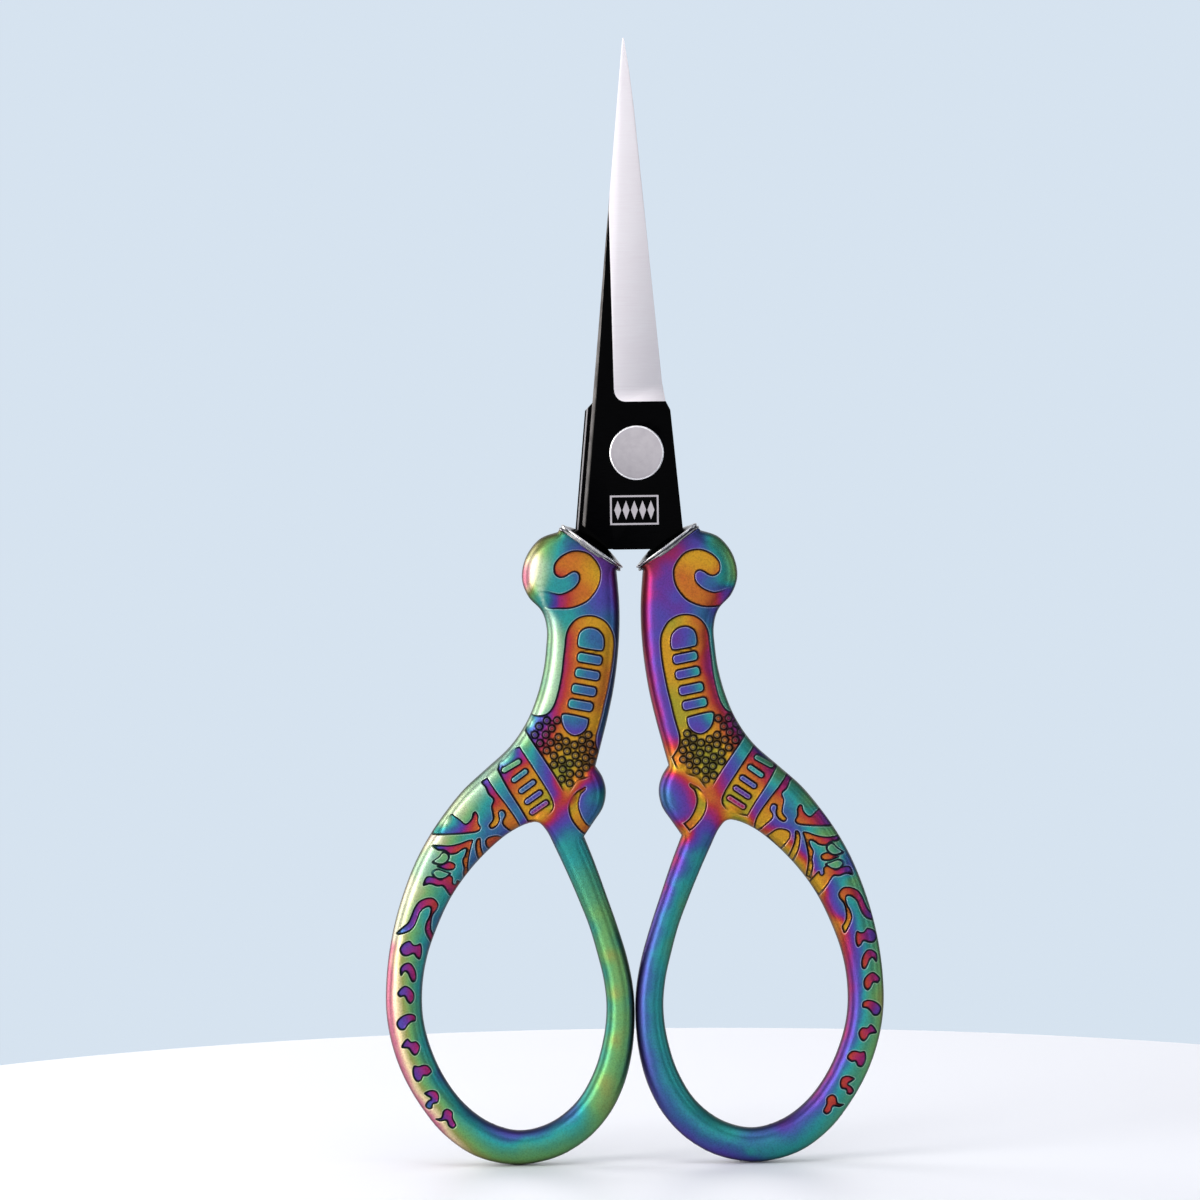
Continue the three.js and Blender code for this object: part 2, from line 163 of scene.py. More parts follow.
BEANS = [
    [
        (26.66, 25.06), (26.26, 25.7), (25.5, 26.03), (25.1, 25.6), (24.7, 25.55), (24.3, 25.7),
        (24.13, 25.2), (24.16, 24.4), (24.4, 23.85), (24.8, 24.1), (25.1, 24.5), (25.8, 24.26),
        (26.4, 24.4),
    ],
    [
        (26.66, 22.3), (26.6, 22.97), (26.1, 23.45), (25.5, 23.5), (25.05, 22.97), (24.8, 22.16),
        (24.9, 21.4), (25.3, 21.3), (25.6, 21.84), (25.8, 22.3), (26.1, 22.5), (26.5, 22),
    ],
    [
        (27, 20), (26.66, 20.55), (26.1, 20.9), (25.5, 20.6), (25.1, 20), (25.1, 19.26), (25.5, 18.8),
        (25.9, 19.1), (26.2, 19.66), (26.7, 19.6),
    ],
    [
        (27.15, 16.5), (26.9, 17.1), (26.26, 17.56), (25.5, 17.7), (24.97, 17.4), (24.97, 16.84),
        (25.45, 16.7), (25.85, 16.35), (26.2, 15.87), (26.8, 15.87),
    ],
    [
        (26.6, 13.8), (26.4, 14.4), (25.9, 14.87), (25.5, 14.5), (24.9, 14.5), (24.5, 13.9),
        (24.7, 13.2), (25.1, 12.9), (25.5, 13.2), (25.85, 13.7),
    ],
    [
        (25.4, 11.2), (25.2, 11.76), (24.7, 11.7), (24.16, 11.84), (23.6, 11.7), (23.2, 11.03),
        (23.7, 10.55), (24.16, 10.55), (24.4, 10.06), (24.9, 9.9), (25.3, 10.4),
    ],
    [
        (24.1, 8.6), (23.4, 8.94), (22.7, 8.8), (22.4, 8.2), (22.55, 7.5), (23.1, 7.3), (23.2, 6.84),
        (23.7, 6.7), (24.03, 7.1), (23.76, 7.65), (23.35, 7.97), (23.84, 8.3),
    ],
    [
        (22.9, 5.6), (22.2, 5.8), (22, 6.5), (21.5, 6.8), (20.9, 6.4), (20.85, 5.7), (20.5, 4.9),
        (20.9, 4.5), (21.4, 4.8), (21.66, 5.4), (22.4, 5.3),
    ],
]
RECESSES = [
    SCROLL, PANEL, BAR_FIELD, LEAF_HIGH, LEAF_MIDDLE, LEAF_LOW, LEAF_SLIVER, LEAF_INNER, BERRY,
    LEAF_FOOT, RIBBON, CRESCENT, *BEANS,
]

# What stands up again inside the sunk ground.
PADS = [
    [
        (5.9, 59.4), (5.9, 60.13), (5.66, 60.85), (5.1, 61.26), (4.45, 61.34), (3.73, 61.1),
        (3.16, 60.45), (3.03, 59.65), (3.13, 59), (3.5, 58.8), (5.5, 59.15),
    ],
    [
        (7.6, 51.6), (5.2, 51.1), (4.94, 50.8), (5.1, 50.1), (5.6, 49.5), (6.4, 49.2), (7.1, 49.5),
        (7.6, 50.1), (7.84, 50.94),
    ],
]
PANEL_BARS = [(4.65, 57.85), (4.93, 56.1), (5.34, 54.3), (5.74, 52.6)]
PANEL_BAR_LENGTH = 2.75
PANEL_BAR_WIDTH = 1.0
PANEL_BAR_SLOPE = math.radians(11)
PANEL_BAR_CORNER = 0.35
FIELD_BARS = [
    ((14.74, 45.2), (12.65, 46.4)), ((13.6, 44.06), (11.9, 45.3)), ((12.8, 42.8), (11.03, 44.06)),
    ((12.16, 41.56), (10.3, 42.85)), ((11.6, 40.35), (9.6, 41.7)),
]
FIELD_BAR_WIDTH = 0.55
DOTS = [
    (9.6, 50.9), (8.44, 50.9), (10.47, 50.24), (9.05, 50), (10.98, 49.3), (9.74, 49.3), (8.3, 49),
    (4.9, 49.2), (10.4, 48.35), (9.2, 48.4), (7.45, 48.5), (5.63, 48.6), (8.3, 47.9), (6.5, 48.1),
    (4.75, 48.15), (9.66, 47.5), (7.35, 47.4), (5.6, 47.6), (4.45, 47.25), (8.85, 46.9), (6.4, 46.9),
    (7.95, 46.4), (5.25, 46.6), (8.85, 45.9), (7.05, 46), (6.05, 45.95), (4.5, 46.15), (7.87, 45.35),
    (5.2, 45.5), (7.05, 44.85), (6, 44.8), (8, 44.25), (7.1, 43.75),
]
DOT_RADIUS = 0.34
BEAD_RIM = 0.05
LEAVES = [
    [(22.56, 35.03), (22, 35.5), (21.5, 36), (21.03, 35.7), (21.1, 35.2), (21.7, 34.8)],
    [(22.65, 33.74), (22.16, 34.06), (21.35, 33.8), (20.95, 33.6), (21.5, 33.2), (22.24, 33.2)],
]

LEAF_NEST = 1.35  # the groove round a leaf is this much larger than the leaf

# Where the sunk ground runs out into the surface round it, as (x, z, radius).
FADES = [
    (10.4, 64.7, 2.5), (14.6, 47.3, 2), (10, 39.5, 1.7), (21.6, 39.9, 1.3), (23.3, 36.1, 1.2),
    (4.3, 44.6, 1.3), (5.9, 43.6, 0.9), (7.6, 42.2, 1.6), (23.4, 34.2, 1.1), (11.9, 50.9, 1.1),
]

# How far the right-hand handle's pattern sits from its place, as (height, outward, up).
NO_SLIP = [(0, 0, 0)]
RIGHT_SLIP = [(5, 0.75, 1.1), (25, 1, 0.83), (40, 1.15, 0.35), (50, 1.4, 0), (70, 1.7, 0)]

FADE_CORE = 0.25  # the share of a fade's radius where nothing of the relief is left

RELIEF_DEPTH = 0.32
CARVED_SHARE = (0.3, 0.7)  # the relief runs out where the handle is thinner than these shares
WALL_LEVELS = (-0.15, -0.05, 0.04, 0.12)  # distances from a relief line that carry points
WALL_FOOT, WALL_TOP = -0.14, 0.03  # and those between which the wall rises
FAR = 0.6  # relief distances are cut off here

# ---- interference colours -----------------------------------------------------------------------

# The plating's colours in the order in which a thickening film shows them, as sRGB.
FILM = {
    "olive0": (0.60, 0.56, 0.14), "gold": (0.76, 0.55, 0.10), "orange": (0.72, 0.39, 0.12),
    "red": (0.66, 0.19, 0.17), "magenta": (0.58, 0.11, 0.38), "purple": (0.36, 0.18, 0.54),
    "violet": (0.28, 0.25, 0.60), "blue": (0.18, 0.36, 0.55), "teal": (0.14, 0.56, 0.55),
    "green": (0.26, 0.56, 0.43), "leaf": (0.39, 0.61, 0.36), "olive": (0.53, 0.56, 0.29),
    "cream": (0.88, 0.79, 0.62), "pink": (0.80, 0.44, 0.55),
}
FILM_STEP = 1 / (len(FILM) - 1)
TINT_SOFTNESS = 0.4  # millimetres over which a tint spreads round its point
TINT_SLACK = 0.15  # how loosely the blend follows its points

LEFT_TOP = {
    "pink": [
        (10.9, 68), (11.9, 65.9), (22.4, 37.7), (27.5, 25.2), (27.7, 22), (27.7, 18), (27.2, 14),
        (26.1, 10.5), (24.6, 7.6), (22.6, 4.9), (8.1, 72.5),
    ],
    "cream": [(10.5, 69.3), (25.2, 33), (26.2, 30), (26.8, 27.2), (23.8, 36.4), (20.5, 2.9)],
    "olive": [
        (11.6, 69.6), (11.5, 65.2), (19.2, 40.9), (21, 40.9), (24.6, 31.2), (26.5, 23.9), (2.9, 24),
        (2.4, 19.5), (2.4, 14.5), (3.6, 9.6), (26.3, 18.4), (17.5, 1),
    ],
    "leaf": [
        (8.9, 71.4), (8.7, 60), (8.6, 57), (9.1, 54), (10.2, 52), (11.9, 48.5), (15.9, 45), (18.5, 43.2),
        (22.3, 39), (13.4, 45.9), (21.8, 35.4), (23.5, 31.6), (4.4, 28.6), (25.7, 21), (25.4, 15.3),
        (24.2, 10), (21.8, 7.1), (2, 8.7), (4.4, 4.4), (8.5, 1.6), (12.5, 0.9), (20.2, 4.4), (25.3, 24),
        (1.4, 21.5), (1.1, 17), (1.3, 13), (3.7, 26.7), (4.9, 7.2), (2.5, 21.8), (2.3, 17), (2.8, 12),
    ],
    "green": [
        (9.4, 68.6), (9.4, 59), (9.8, 55), (11.2, 51.4), (17.6, 42), (19.6, 37.7), (21.9, 33.6),
        (22.6, 31.4), (24.2, 27.3), (24.6, 34), (0.4, 14), (0.4, 19), (1.7, 25.5), (3.6, 31.6),
        (5.6, 32.4), (24.9, 18.5), (23.3, 11.3), (20.9, 6.4), (6, 4), (12.5, 2.2), (17.2, 2.6),
        (0.9, 10.5), (22.9, 34.6),
    ],
    "teal": [
        (8.9, 66.9), (10.2, 64.9), (9.3, 63.6), (7.4, 71.9), (6.8, 63), (8.4, 62.3), (7.2, 66.4),
        (5.7, 57.9), (11.3, 47.6), (13.4, 47.4), (14.9, 46.2), (16.6, 45.1), (15, 43.7), (16.9, 41),
        (19.8, 35.2), (20.3, 33.8), (22.8, 35.9), (21.7, 30.2), (23.7, 29.2), (23.5, 26.6), (5, 36),
        (6.9, 35.5), (4.8, 27), (3.5, 22), (24.5, 22), (24.3, 18), (24.2, 14), (21.6, 8.8), (3.2, 18.5),
        (3.3, 15.5), (4, 12.6), (5.7, 8.7), (12.9, 3.1), (18.4, 4.9), (9, 4), (3.5, 42.5), (5.2, 45.9),
        (8.2, 36.6), (24.2, 25.5),
    ],
    "blue": [
        (5.6, 71.1), (6.1, 67.2), (2.3, 62.7), (4.9, 63.1), (1.4, 60), (1.6, 56), (2.4, 53), (3.4, 49.3),
        (3.8, 57.7), (4.5, 60.2), (5.1, 56.1), (5.4, 54.2), (5.8, 52.6), (6.4, 50.5), (10.4, 46),
        (12.6, 44.6), (12, 43.4), (13.9, 41.7), (12.5, 39.8), (16.6, 39.4), (15.2, 38.4), (18.2, 36),
        (17, 35.8), (22.2, 27.8), (24.1, 20.5), (22.6, 10.8), (19, 6.3), (4.3, 41.2), (4.9, 39.9),
        (5.5, 41.9), (8.1, 38.3), (8.9, 36.9), (6.9, 6.2), (10.5, 48.4), (9.6, 50.9),
    ],
    "violet": [
        (2.2, 65.2), (3.6, 63.9), (9.6, 44.3), (11.2, 42.2), (14, 38.3), (5, 43.2), (7.7, 39.3),
        (16.2, 4.7), (11.5, 4.3),
    ],
    "purple": [
        (4.6, 70.5), (2.7, 67.3), (1.5, 65), (2.2, 68.4), (8.7, 42.6), (10.6, 41), (4.1, 43.9),
        (11.4, 40.5), (9.8, 41.6), (13.4, 4), (9.5, 38.6), (8.1, 48.9),
    ],
    "magenta": [(8.6, 40.4), (4.6, 44.9), (7.5, 46.5), (9.9, 38.9)],
    "red": [(5.4, 44.4), (8.1, 41.5), (6.1, 46.9), (5, 47.5)],
    "orange": [(7.3, 42.5), (9.2, 40.7), (6, 45.2)],
    "gold": [(10.2, 40.2), (11.2, 39.5), (8, 44.4), (7.1, 43.8)],
}
LEFT_GROUND = {
    "teal": [(9.9, 64.9), (13.9, 46.9), (20.4, 39.6), (21.9, 38.6), (22.6, 36.6), (11.6, 50.6)],
    "blue": [(26.3, 27.1), (19.7, 39.1), (23.5, 7.2)],
    "violet": [(8.9, 64.5), (26.6, 16.5), (26.7, 20.1), (22.6, 5.6)],
    "purple": [
        (12.9, 47.4), (9.3, 51.2), (10.4, 49.8), (16.6, 43.4), (19.3, 38.8), (21.7, 36.6), (21.7, 34.5),
        (23.3, 33), (25.3, 28.1), (26.3, 25), (26.4, 22.7), (26.2, 14), (25, 10.9), (24.8, 29.2),
    ],
    "magenta": [
        (7.9, 64.4), (7.4, 60), (7.7, 57), (8.2, 54), (8.8, 52.3), (9.9, 48.6), (12.3, 46.4),
        (14.2, 44.5), (16.1, 42.5), (20.9, 36.4), (22.3, 32.8), (20.8, 31.8), (24.5, 25), (25.1, 21.8),
        (25.5, 19.5), (25.3, 17.2), (24.8, 13.7), (23.7, 11.2), (22.9, 8.2), (21.3, 6.1), (24, 30.3),
        (23.4, 27.4),
    ],
    "red": [
        (6.9, 64.3), (7.2, 61.3), (9, 49.6), (15.6, 41.4), (18.3, 38.9), (17.9, 39.9), (20, 36.5),
        (20.7, 34.5), (20.9, 33), (22.7, 30.1), (15.7, 37.1), (13.3, 45.6),
    ],
    "orange": [
        (8.1, 68.5), (6.2, 69.2), (4.8, 65.4), (5.8, 64.6), (6.2, 61.9), (2.6, 56), (3.4, 53),
        (6.2, 58.5), (6.6, 55), (7.3, 52.3), (8.4, 49.6), (4.6, 47.6), (12.9, 43.6), (14.6, 40.9),
        (14, 39.4), (18.7, 35), (17.3, 36), (5.6, 38.4), (11.6, 45.6), (6.3, 44.4),
    ],
    "gold": [
        (4.2, 68.3), (4, 66.9), (4.6, 62.2), (2.5, 60.9), (2.3, 58.5), (4.5, 59), (4.6, 55.3), (4.2, 51),
        (7.5, 48.6), (6, 47.3), (5, 49.8), (10.9, 43.2), (12.3, 41), (15.5, 39.4), (11.2, 40.2),
        (6.6, 40.3), (5.4, 45.9),
    ],
    "olive0": [(8.8, 45.2), (8, 43.4), (7, 45.4), (6.7, 41.9), (9.8, 41.2)],
}
RIGHT_TOP = {
    "olive": [(12.1, 67.6), (28, 17.5)],
    "leaf": [
        (11.1, 69.4), (11.6, 68.3), (12, 66.6), (28, 21), (27.9, 24), (27.5, 14.5), (26.8, 12),
        (20.3, 41.3), (24.8, 32.4), (21.6, 37.7), (23, 37.8), (23.3, 34.1), (27.2, 19.2), (16.9, 44.8),
    ],
    "green": [
        (9.6, 70.9), (10.4, 70.2), (11.4, 67.1), (11.2, 66.4), (10, 56.5), (10.4, 54.5), (10.9, 53),
        (11.4, 52.1), (13.4, 48.6), (16.5, 44.1), (19.2, 43.3), (23, 35.6), (27.3, 27.5), (26.8, 29.4),
        (26.1, 31.8), (25.4, 9), (24.2, 6.7), (22.4, 4.4), (27, 16), (26.4, 26.9), (15.1, 46.2),
        (5.3, 29.5), (4.1, 25.3),
    ],
    "teal": [
        (9, 71.2), (10.3, 69.2), (10.7, 68), (10.4, 66.5), (9.5, 60.6), (9.5, 58.7), (12.8, 47.8),
        (12.5, 47), (14, 44.8), (16.2, 43.3), (18.3, 42), (20.7, 40.3), (22.5, 39.1), (24, 36.2),
        (25.5, 33.6), (25.1, 29.6), (25.5, 27), (26, 22), (26, 19), (25.5, 15.5), (24.7, 12.4),
        (23.6, 10.2), (22.8, 7.6), (21.2, 5), (19, 2.6), (16, 1.1), (13, 1.2), (11, 3.5), (9, 4.1),
        (6.3, 6.6), (4.2, 10.3), (3.1, 14), (2.7, 18), (3.1, 22.5), (3.7, 26), (4.8, 29.3), (6, 32.2),
        (7.6, 35), (7.4, 56.5), (7.9, 54.7), (8.2, 52.9), (8.9, 50.9), (7.5, 58.3), (21.3, 35.7),
    ],
    "blue": [
        (9.3, 66.1), (8.7, 66.5), (11.8, 65.8), (7.5, 63.5), (8.6, 63.1), (9.4, 61.8), (7.2, 60.3),
        (12, 46.3), (15.7, 42.5), (17.9, 40.1), (18.6, 38.8), (21.2, 33.8), (24, 34.9), (25.8, 24.5),
        (25.9, 20.5), (25.6, 17.2), (24.4, 13), (22.6, 8.8), (19.8, 5.1), (16, 3.4), (13, 2.6),
        (10, 2.3), (7.3, 3.3), (4.4, 6.2), (2.4, 10), (1.15, 14.5), (1.05, 19), (1.8, 24), (3, 28.4),
        (4.4, 32), (6, 35.3), (8.5, 37.4), (3.9, 42.6), (4.1, 41), (23.4, 31),
    ],
    "violet": [
        (8.3, 67.1), (7.9, 71.2), (6.8, 63.6), (9.6, 63), (6.2, 60.4), (5.8, 57.9), (6, 56.1),
        (6.4, 54.3), (6.7, 52.5), (7.8, 50.4), (11.3, 45.1), (13.3, 43.5), (15, 41.5), (17, 38.7),
        (19.3, 36), (22.7, 30.2), (23.5, 28.6), (25.5, 22.5), (25.4, 18.5), (24.9, 15.2), (23.7, 11.8),
        (21.5, 8), (18.4, 5.2), (13, 0.5), (8.2, 1.7), (4.6, 4.1), (1.6, 9.5), (0.65, 14), (0.6, 19),
        (1.3, 23.8), (2.6, 28.2), (4, 32), (5.6, 35.6), (8, 38.2), (4.8, 42.4), (5.1, 40.2), (2.9, 60.5),
        (3, 57.5), (3.6, 54.5), (4.3, 51.8), (5, 49.4), (3.2, 63), (4.9, 64.5), (7.2, 71),
    ],
    "purple": [
        (6.4, 70.5), (11, 64.9), (3, 66.5), (4.4, 66.2), (4.3, 64.4), (5.4, 63.5), (2.6, 64), (2.4, 62),
        (2.3, 60), (2.5, 57.5), (3.1, 54), (3.8, 51.6), (4.6, 49.2), (5.1, 60), (3.8, 68.2),
        (10.7, 44.1), (12.6, 42.2), (14.3, 40.4), (16, 38.7), (18.4, 37.1), (24.5, 33.4), (22.2, 31.1),
        (25.1, 20), (24.9, 23.6), (24.7, 16.5), (23.4, 12.2), (21, 7.8), (16.5, 4.4), (10, 0.4),
        (5.2, 2.8), (0.9, 9.4), (0.1, 14), (0.05, 19), (1, 24.9), (2.2, 28.7), (7.2, 38.2), (9, 38.9),
        (6.1, 41.5), (5, 43.5), (5.5, 39.6),
    ],
    "magenta": [
        (3.1, 67.9), (2.2, 66), (1.9, 64), (1.8, 62), (1.7, 60), (2, 56.5), (2.6, 53.8), (3.2, 51.4),
        (4.1, 48.7), (4.8, 44.5), (4.6, 69.2), (5.4, 69.8), (6.2, 43.4), (9, 40.2), (10.1, 43.1),
        (11.8, 41.1), (13.5, 39.6), (23.9, 14.5), (24.6, 20), (24.5, 24), (22.1, 10.2), (20.2, 8),
        (6.6, 37.4), (5.1, 34.9), (3.9, 31.9),
    ],
    "red": [
        (1.6, 66.5), (1.4, 64.3), (1.3, 61), (1.5, 58), (2, 54.5), (2.6, 51.6), (3.7, 48), (5.8, 44.3),
        (9.2, 40.9), (9.7, 42.3), (9.9, 39.9), (23.9, 26),
    ],
    "orange": [
        (4.4, 47), (6.6, 44), (8.7, 41.9), (10.4, 40.4), (8.3, 43.3), (23.4, 27.6), (21.6, 31.1),
        (20.4, 32.7),
    ],
    "gold": [
        (4.6, 46.2), (5.6, 45.1), (10.9, 40.6), (8, 43.9), (19.2, 34.2), (17.9, 35.7), (16.4, 37.1),
        (6.1, 37.9),
    ],
    "olive0": [(4.9, 45.6), (11.6, 39.7), (12.8, 39.3)],
}
RIGHT_GROUND = {
    "blue": [(23, 38.4)],
    "purple": [
        (11.1, 64.9), (11.9, 50.6), (12.4, 49.6), (14.4, 47.2), (22.4, 38.6), (26.7, 28.3), (27.2, 27.5),
        (26.7, 25.8), (27.1, 17.2), (24.2, 33.1),
    ],
    "magenta": [
        (10.5, 64.8), (8.7, 58.4), (8.7, 56.2), (11.2, 50.8), (11, 49.9), (12.1, 48.6), (13.7, 46.9),
        (15.7, 44.7), (17.2, 43.6), (16.9, 42.9), (21.3, 38.9), (23, 36.7), (23.6, 33), (25.8, 30.1),
        (26.1, 29.3), (27.3, 23.1), (27.2, 20.9), (26.8, 14.8), (25.3, 11.6),
    ],
    "red": [
        (9.8, 64.5), (8.4, 60.4), (8.9, 54.2), (9.4, 52.6), (10.3, 51.2), (11.5, 48.9), (13.3, 46.2),
        (14.4, 45.8), (15.1, 43.6), (16.7, 42.3), (19.4, 39.9), (20.4, 39.2), (21.4, 36.9), (22.6, 34.7),
        (25, 30.9), (25.5, 25.4), (26.3, 22.8), (26.6, 20.3), (26.3, 17.8), (26, 14.2), (24.4, 12),
        (23.8, 8.8), (22, 6.4),
    ],
    "orange": [
        (5.8, 67.4), (6.3, 66), (7.2, 64.9), (8.6, 64.5), (7.3, 62.1), (7.9, 61.3), (8, 59), (8, 55.6),
        (10.1, 49.9), (10.4, 48.9), (12.7, 45.3), (13.5, 44.2), (16.4, 41.5), (15.6, 40.8), (20.1, 37.2),
        (20.4, 35.2), (21.8, 35), (22.1, 33.2), (23.9, 30.3), (24.5, 28.2), (5.3, 46.2), (6.5, 39.1),
    ],
    "gold": [
        (8, 69.3), (6.5, 69), (9.4, 68.3), (6.2, 62.5), (4.3, 56), (3.9, 60.2), (3.9, 58.2), (6.2, 58.7),
        (6.6, 55.1), (7.1, 53.4), (8.2, 51.7), (9.3, 49), (10.4, 47.9), (6, 47.7), (8.7, 48.4),
        (12.1, 43.5), (13.3, 42.8), (14.5, 42.1), (14.7, 39.5), (16.8, 37.6), (16.6, 39.9), (18.9, 36.8),
        (20.2, 34), (24.2, 27.1), (7.2, 39.8), (6.8, 45.2), (8.7, 44),
    ],
    "olive0": [
        (4.9, 61.9), (4.8, 53.2), (5.4, 50.8), (7.4, 47.6), (9.6, 47), (8, 46.1), (9.9, 45.6),
        (8.6, 44.9), (11.2, 42.2), (13, 41.3), (11, 40.9), (7.2, 42.7), (7.6, 41.3),
    ],
}

# The course of a painted highlight, a lighter streak along the left-hand handle's lit outer side, as (x,
# z, radius).
LEFT_HIGHLIGHT_STREAK = [
    (10.4, 68.4, 1.2), (9.9, 64.6, 0.2), (8.8, 62, 0.6), (8.5, 59.5, 0.8), (8.8, 56.6, 0.85),
    (9.4, 53.7, 0.9), (10.6, 52, 0.85), (12.5, 49.6, 0.9), (14.4, 47.5, 0.8), (17.1, 43.9, 0.9),
    (19.4, 41.8, 1.1), (22, 38.3, 1), (23.9, 35.1, 1.1), (25.3, 32.2, 1.2), (26.5, 29.5, 1.1),
    (27.3, 26.5, 0.8),
]
NO_HIGHLIGHT_STREAK = []
HIGHLIGHT_STREAK_STEPS = 6

# ---- curves and distances -----------------------------------------------------------------------


def spline(points, closed=False, steps=8):
    """A smooth curve through the points. A point given twice is a corner."""
    knots = np.array(points, float)
    count = len(knots)
    places = range(count if closed else count - 1)
    t = np.linspace(0, 1, steps, endpoint=False)[:, None]

    def knot(i):
        return knots[i % count] if closed else knots[min(max(i, 0), count - 1)]

    spans = []
    for i in places:
        a, b, c, d = (knot(i + k) for k in (-1, 0, 1, 2))
        curve = 2 * b + (c - a) * t + (2 * a - 5 * b + 4 * c - d) * t**2
        spans.append(0.5 * (curve + (3 * b - a - 3 * c + d) * t**3))
    if not closed:
        spans.append(knots[-1:])
    return np.concatenate(spans)


FEWEST_STEPS = 4


def even_steps(curve, step, closed=False):
    """The same curve with points about a step apart. An open curve keeps its first point only."""
    if closed:
        curve = np.vstack([curve, curve[:1]])
    run = np.concatenate([[0], np.cumsum(np.linalg.norm(np.diff(curve, axis=0), axis=1))])
    places = np.linspace(0, run[-1], max(FEWEST_STEPS, round(run[-1] / step)), endpoint=False)
    return np.stack([np.interp(places, run, curve[:, axis]) for axis in (0, 1)], axis=1)


def normals_of(loop):
    """Unit normals of a closed loop, to the right of its direction."""
    along = np.roll(loop, -1, axis=0) - np.roll(loop, 1, axis=0)
    across = np.stack([along[:, 1], -along[:, 0]], axis=1)
    return across / np.linalg.norm(across, axis=1, keepdims=True)


BATCH = 3_000_000  # distances worked out at a time


def signed_distance(points, loop):
    """How far each point is from a closed loop, negative inside it."""
    start = loop.astype(np.float32)
    span = np.roll(start, -1, axis=0) - start
    end_z = start[:, 1] + span[:, 1]
    length2 = np.maximum((span**2).sum(1), 1e-12)
    rise = np.where(span[:, 1] == 0, 1e-12, span[:, 1])
    found = np.empty(len(points), np.float32)
    parts = max(1, len(points) * len(loop) // BATCH)
    for chosen in np.array_split(np.arange(len(points)), parts):
        off = points[chosen].astype(np.float32)[:, None] - start
        share = np.clip((off * span).sum(2) / length2, 0, 1)
        gap = off - share[..., None] * span
        near = np.sqrt((gap**2).sum(2).min(1))
        z = points[chosen, 1:2].astype(np.float32)
        spans_z = (start[:, 1] > z) != (end_z > z)
        crossing = spans_z & (off[..., 0] < off[..., 1] * span[:, 0] / rise)
        found[chosen] = np.where(crossing.sum(1) % 2 == 1, -near, near)
    return found


def near_distance(points, loop):
    """signed_distance, worked out only near the loop and inside it. Elsewhere it is FAR."""
    low, high = loop.min(0) - FAR, loop.max(0) + FAR
    chosen = np.flatnonzero(((points > low) & (points < high)).all(1))
    found = np.full(len(points), FAR)
    if len(chosen):
        found[chosen] = np.clip(signed_distance(points[chosen], loop), -FAR, FAR)
    return found


def smoothstep(low, high, value):
    share = np.clip((value - low) / (high - low), 0, 1)
    return share * share * (3 - 2 * share)


def circle(centre, radius, count=14):
    turn = np.linspace(0, 2 * math.pi, count, endpoint=False)
    return np.stack([centre[0] + radius * np.cos(turn), centre[1] + radius * np.sin(turn)], axis=1)


CORNER_STEPS = 4
ROUND_END = 0.49  # the corner's radius of a bar with round ends, as a share of its width


def rounded_bar(centre, length, width, angle, corner):
    """A rectangle with rounded corners, turned by an angle."""
    half = np.array([length / 2 - corner, width / 2 - corner])
    turns = [(1, 1, 0), (-1, 1, 1), (-1, -1, 2), (1, -1, 3)]
    loop = []
    for side_x, side_z, quarter in turns:
        for k in range(CORNER_STEPS + 1):
            turn = (quarter + k / CORNER_STEPS) * math.pi / 2
            loop.append(half * (side_x, side_z) + corner * np.array([math.cos(turn), math.sin(turn)]))
    loop = np.array(loop)
    turned = np.array([[math.cos(angle), math.sin(angle)], [-math.sin(angle), math.cos(angle)]])
    return loop @ turned + centre


def bar_between(first, last, width):
    """A bar with round ends."""
    first, last = np.array(first), np.array(last)
    run = last - first
    angle = math.atan2(run[1], run[0])
    return rounded_bar((first + last) / 2, np.linalg.norm(run), width, angle, ROUND_END * width)


def grown(loop, share):
    middle = loop.mean(0)
    return middle + (loop - middle) * share


def slipped(places, slip):
    """The places (x, z, ...) moved by how far a handle's pattern is out of place at their height."""
    places = np.array(places, float)
    heights, outward, up = zip(*slip)
    along = places[:, 1].copy()
    places[:, 0] += np.interp(along, heights, outward)
    places[:, 1] += np.interp(along, heights, up)
    return places


LOOP_STEPS = 5  # between two points of a relief line


class Pattern:
    """One handle's relief: the loops round its sunk ground and round what stands up inside it."""

    def __init__(self, slip):
        leaves, recesses, pads = (
            [spline(shape, closed=True, steps=LOOP_STEPS) for shape in shapes]
            for shapes in (LEAVES, RECESSES, PADS)
        )
        recesses += [grown(loop, LEAF_NEST) for loop in leaves]
        bar = (PANEL_BAR_LENGTH, PANEL_BAR_WIDTH, PANEL_BAR_SLOPE, PANEL_BAR_CORNER)
        islands = pads + leaves + [rounded_bar(np.array(centre), *bar) for centre in PANEL_BARS]
        islands += [bar_between(*ends, FIELD_BAR_WIDTH) for ends in FIELD_BARS]
        self.recesses = [slipped(loop, slip) for loop in recesses]
        self.beads = slipped(DOTS, slip)
        self.islands = [slipped(loop, slip) for loop in islands]
        self.islands += [circle(centre, DOT_RADIUS) for centre in self.beads]
        self.fades = slipped(FADES, slip)

    def distance(self, points):
        """To the nearest relief line: negative on sunk ground, positive on what stands proud."""
        sunk, island = (
            np.min([near_distance(points, loop) for loop in loops], axis=0)
            for loops in (self.recesses, self.islands)
        )
        return np.maximum(sunk, -island)

    def on_bead(self, points):
        """1 on the small round beads, 0 elsewhere."""
        found = np.zeros(len(points))
        for centre in self.beads:
            away = np.hypot(points[:, 0] - centre[0], points[:, 1] - centre[1])
            found[away < DOT_RADIUS + BEAD_RIM] = 1
        return found


# ---- the handle's surface -----------------------------------------------------------------------

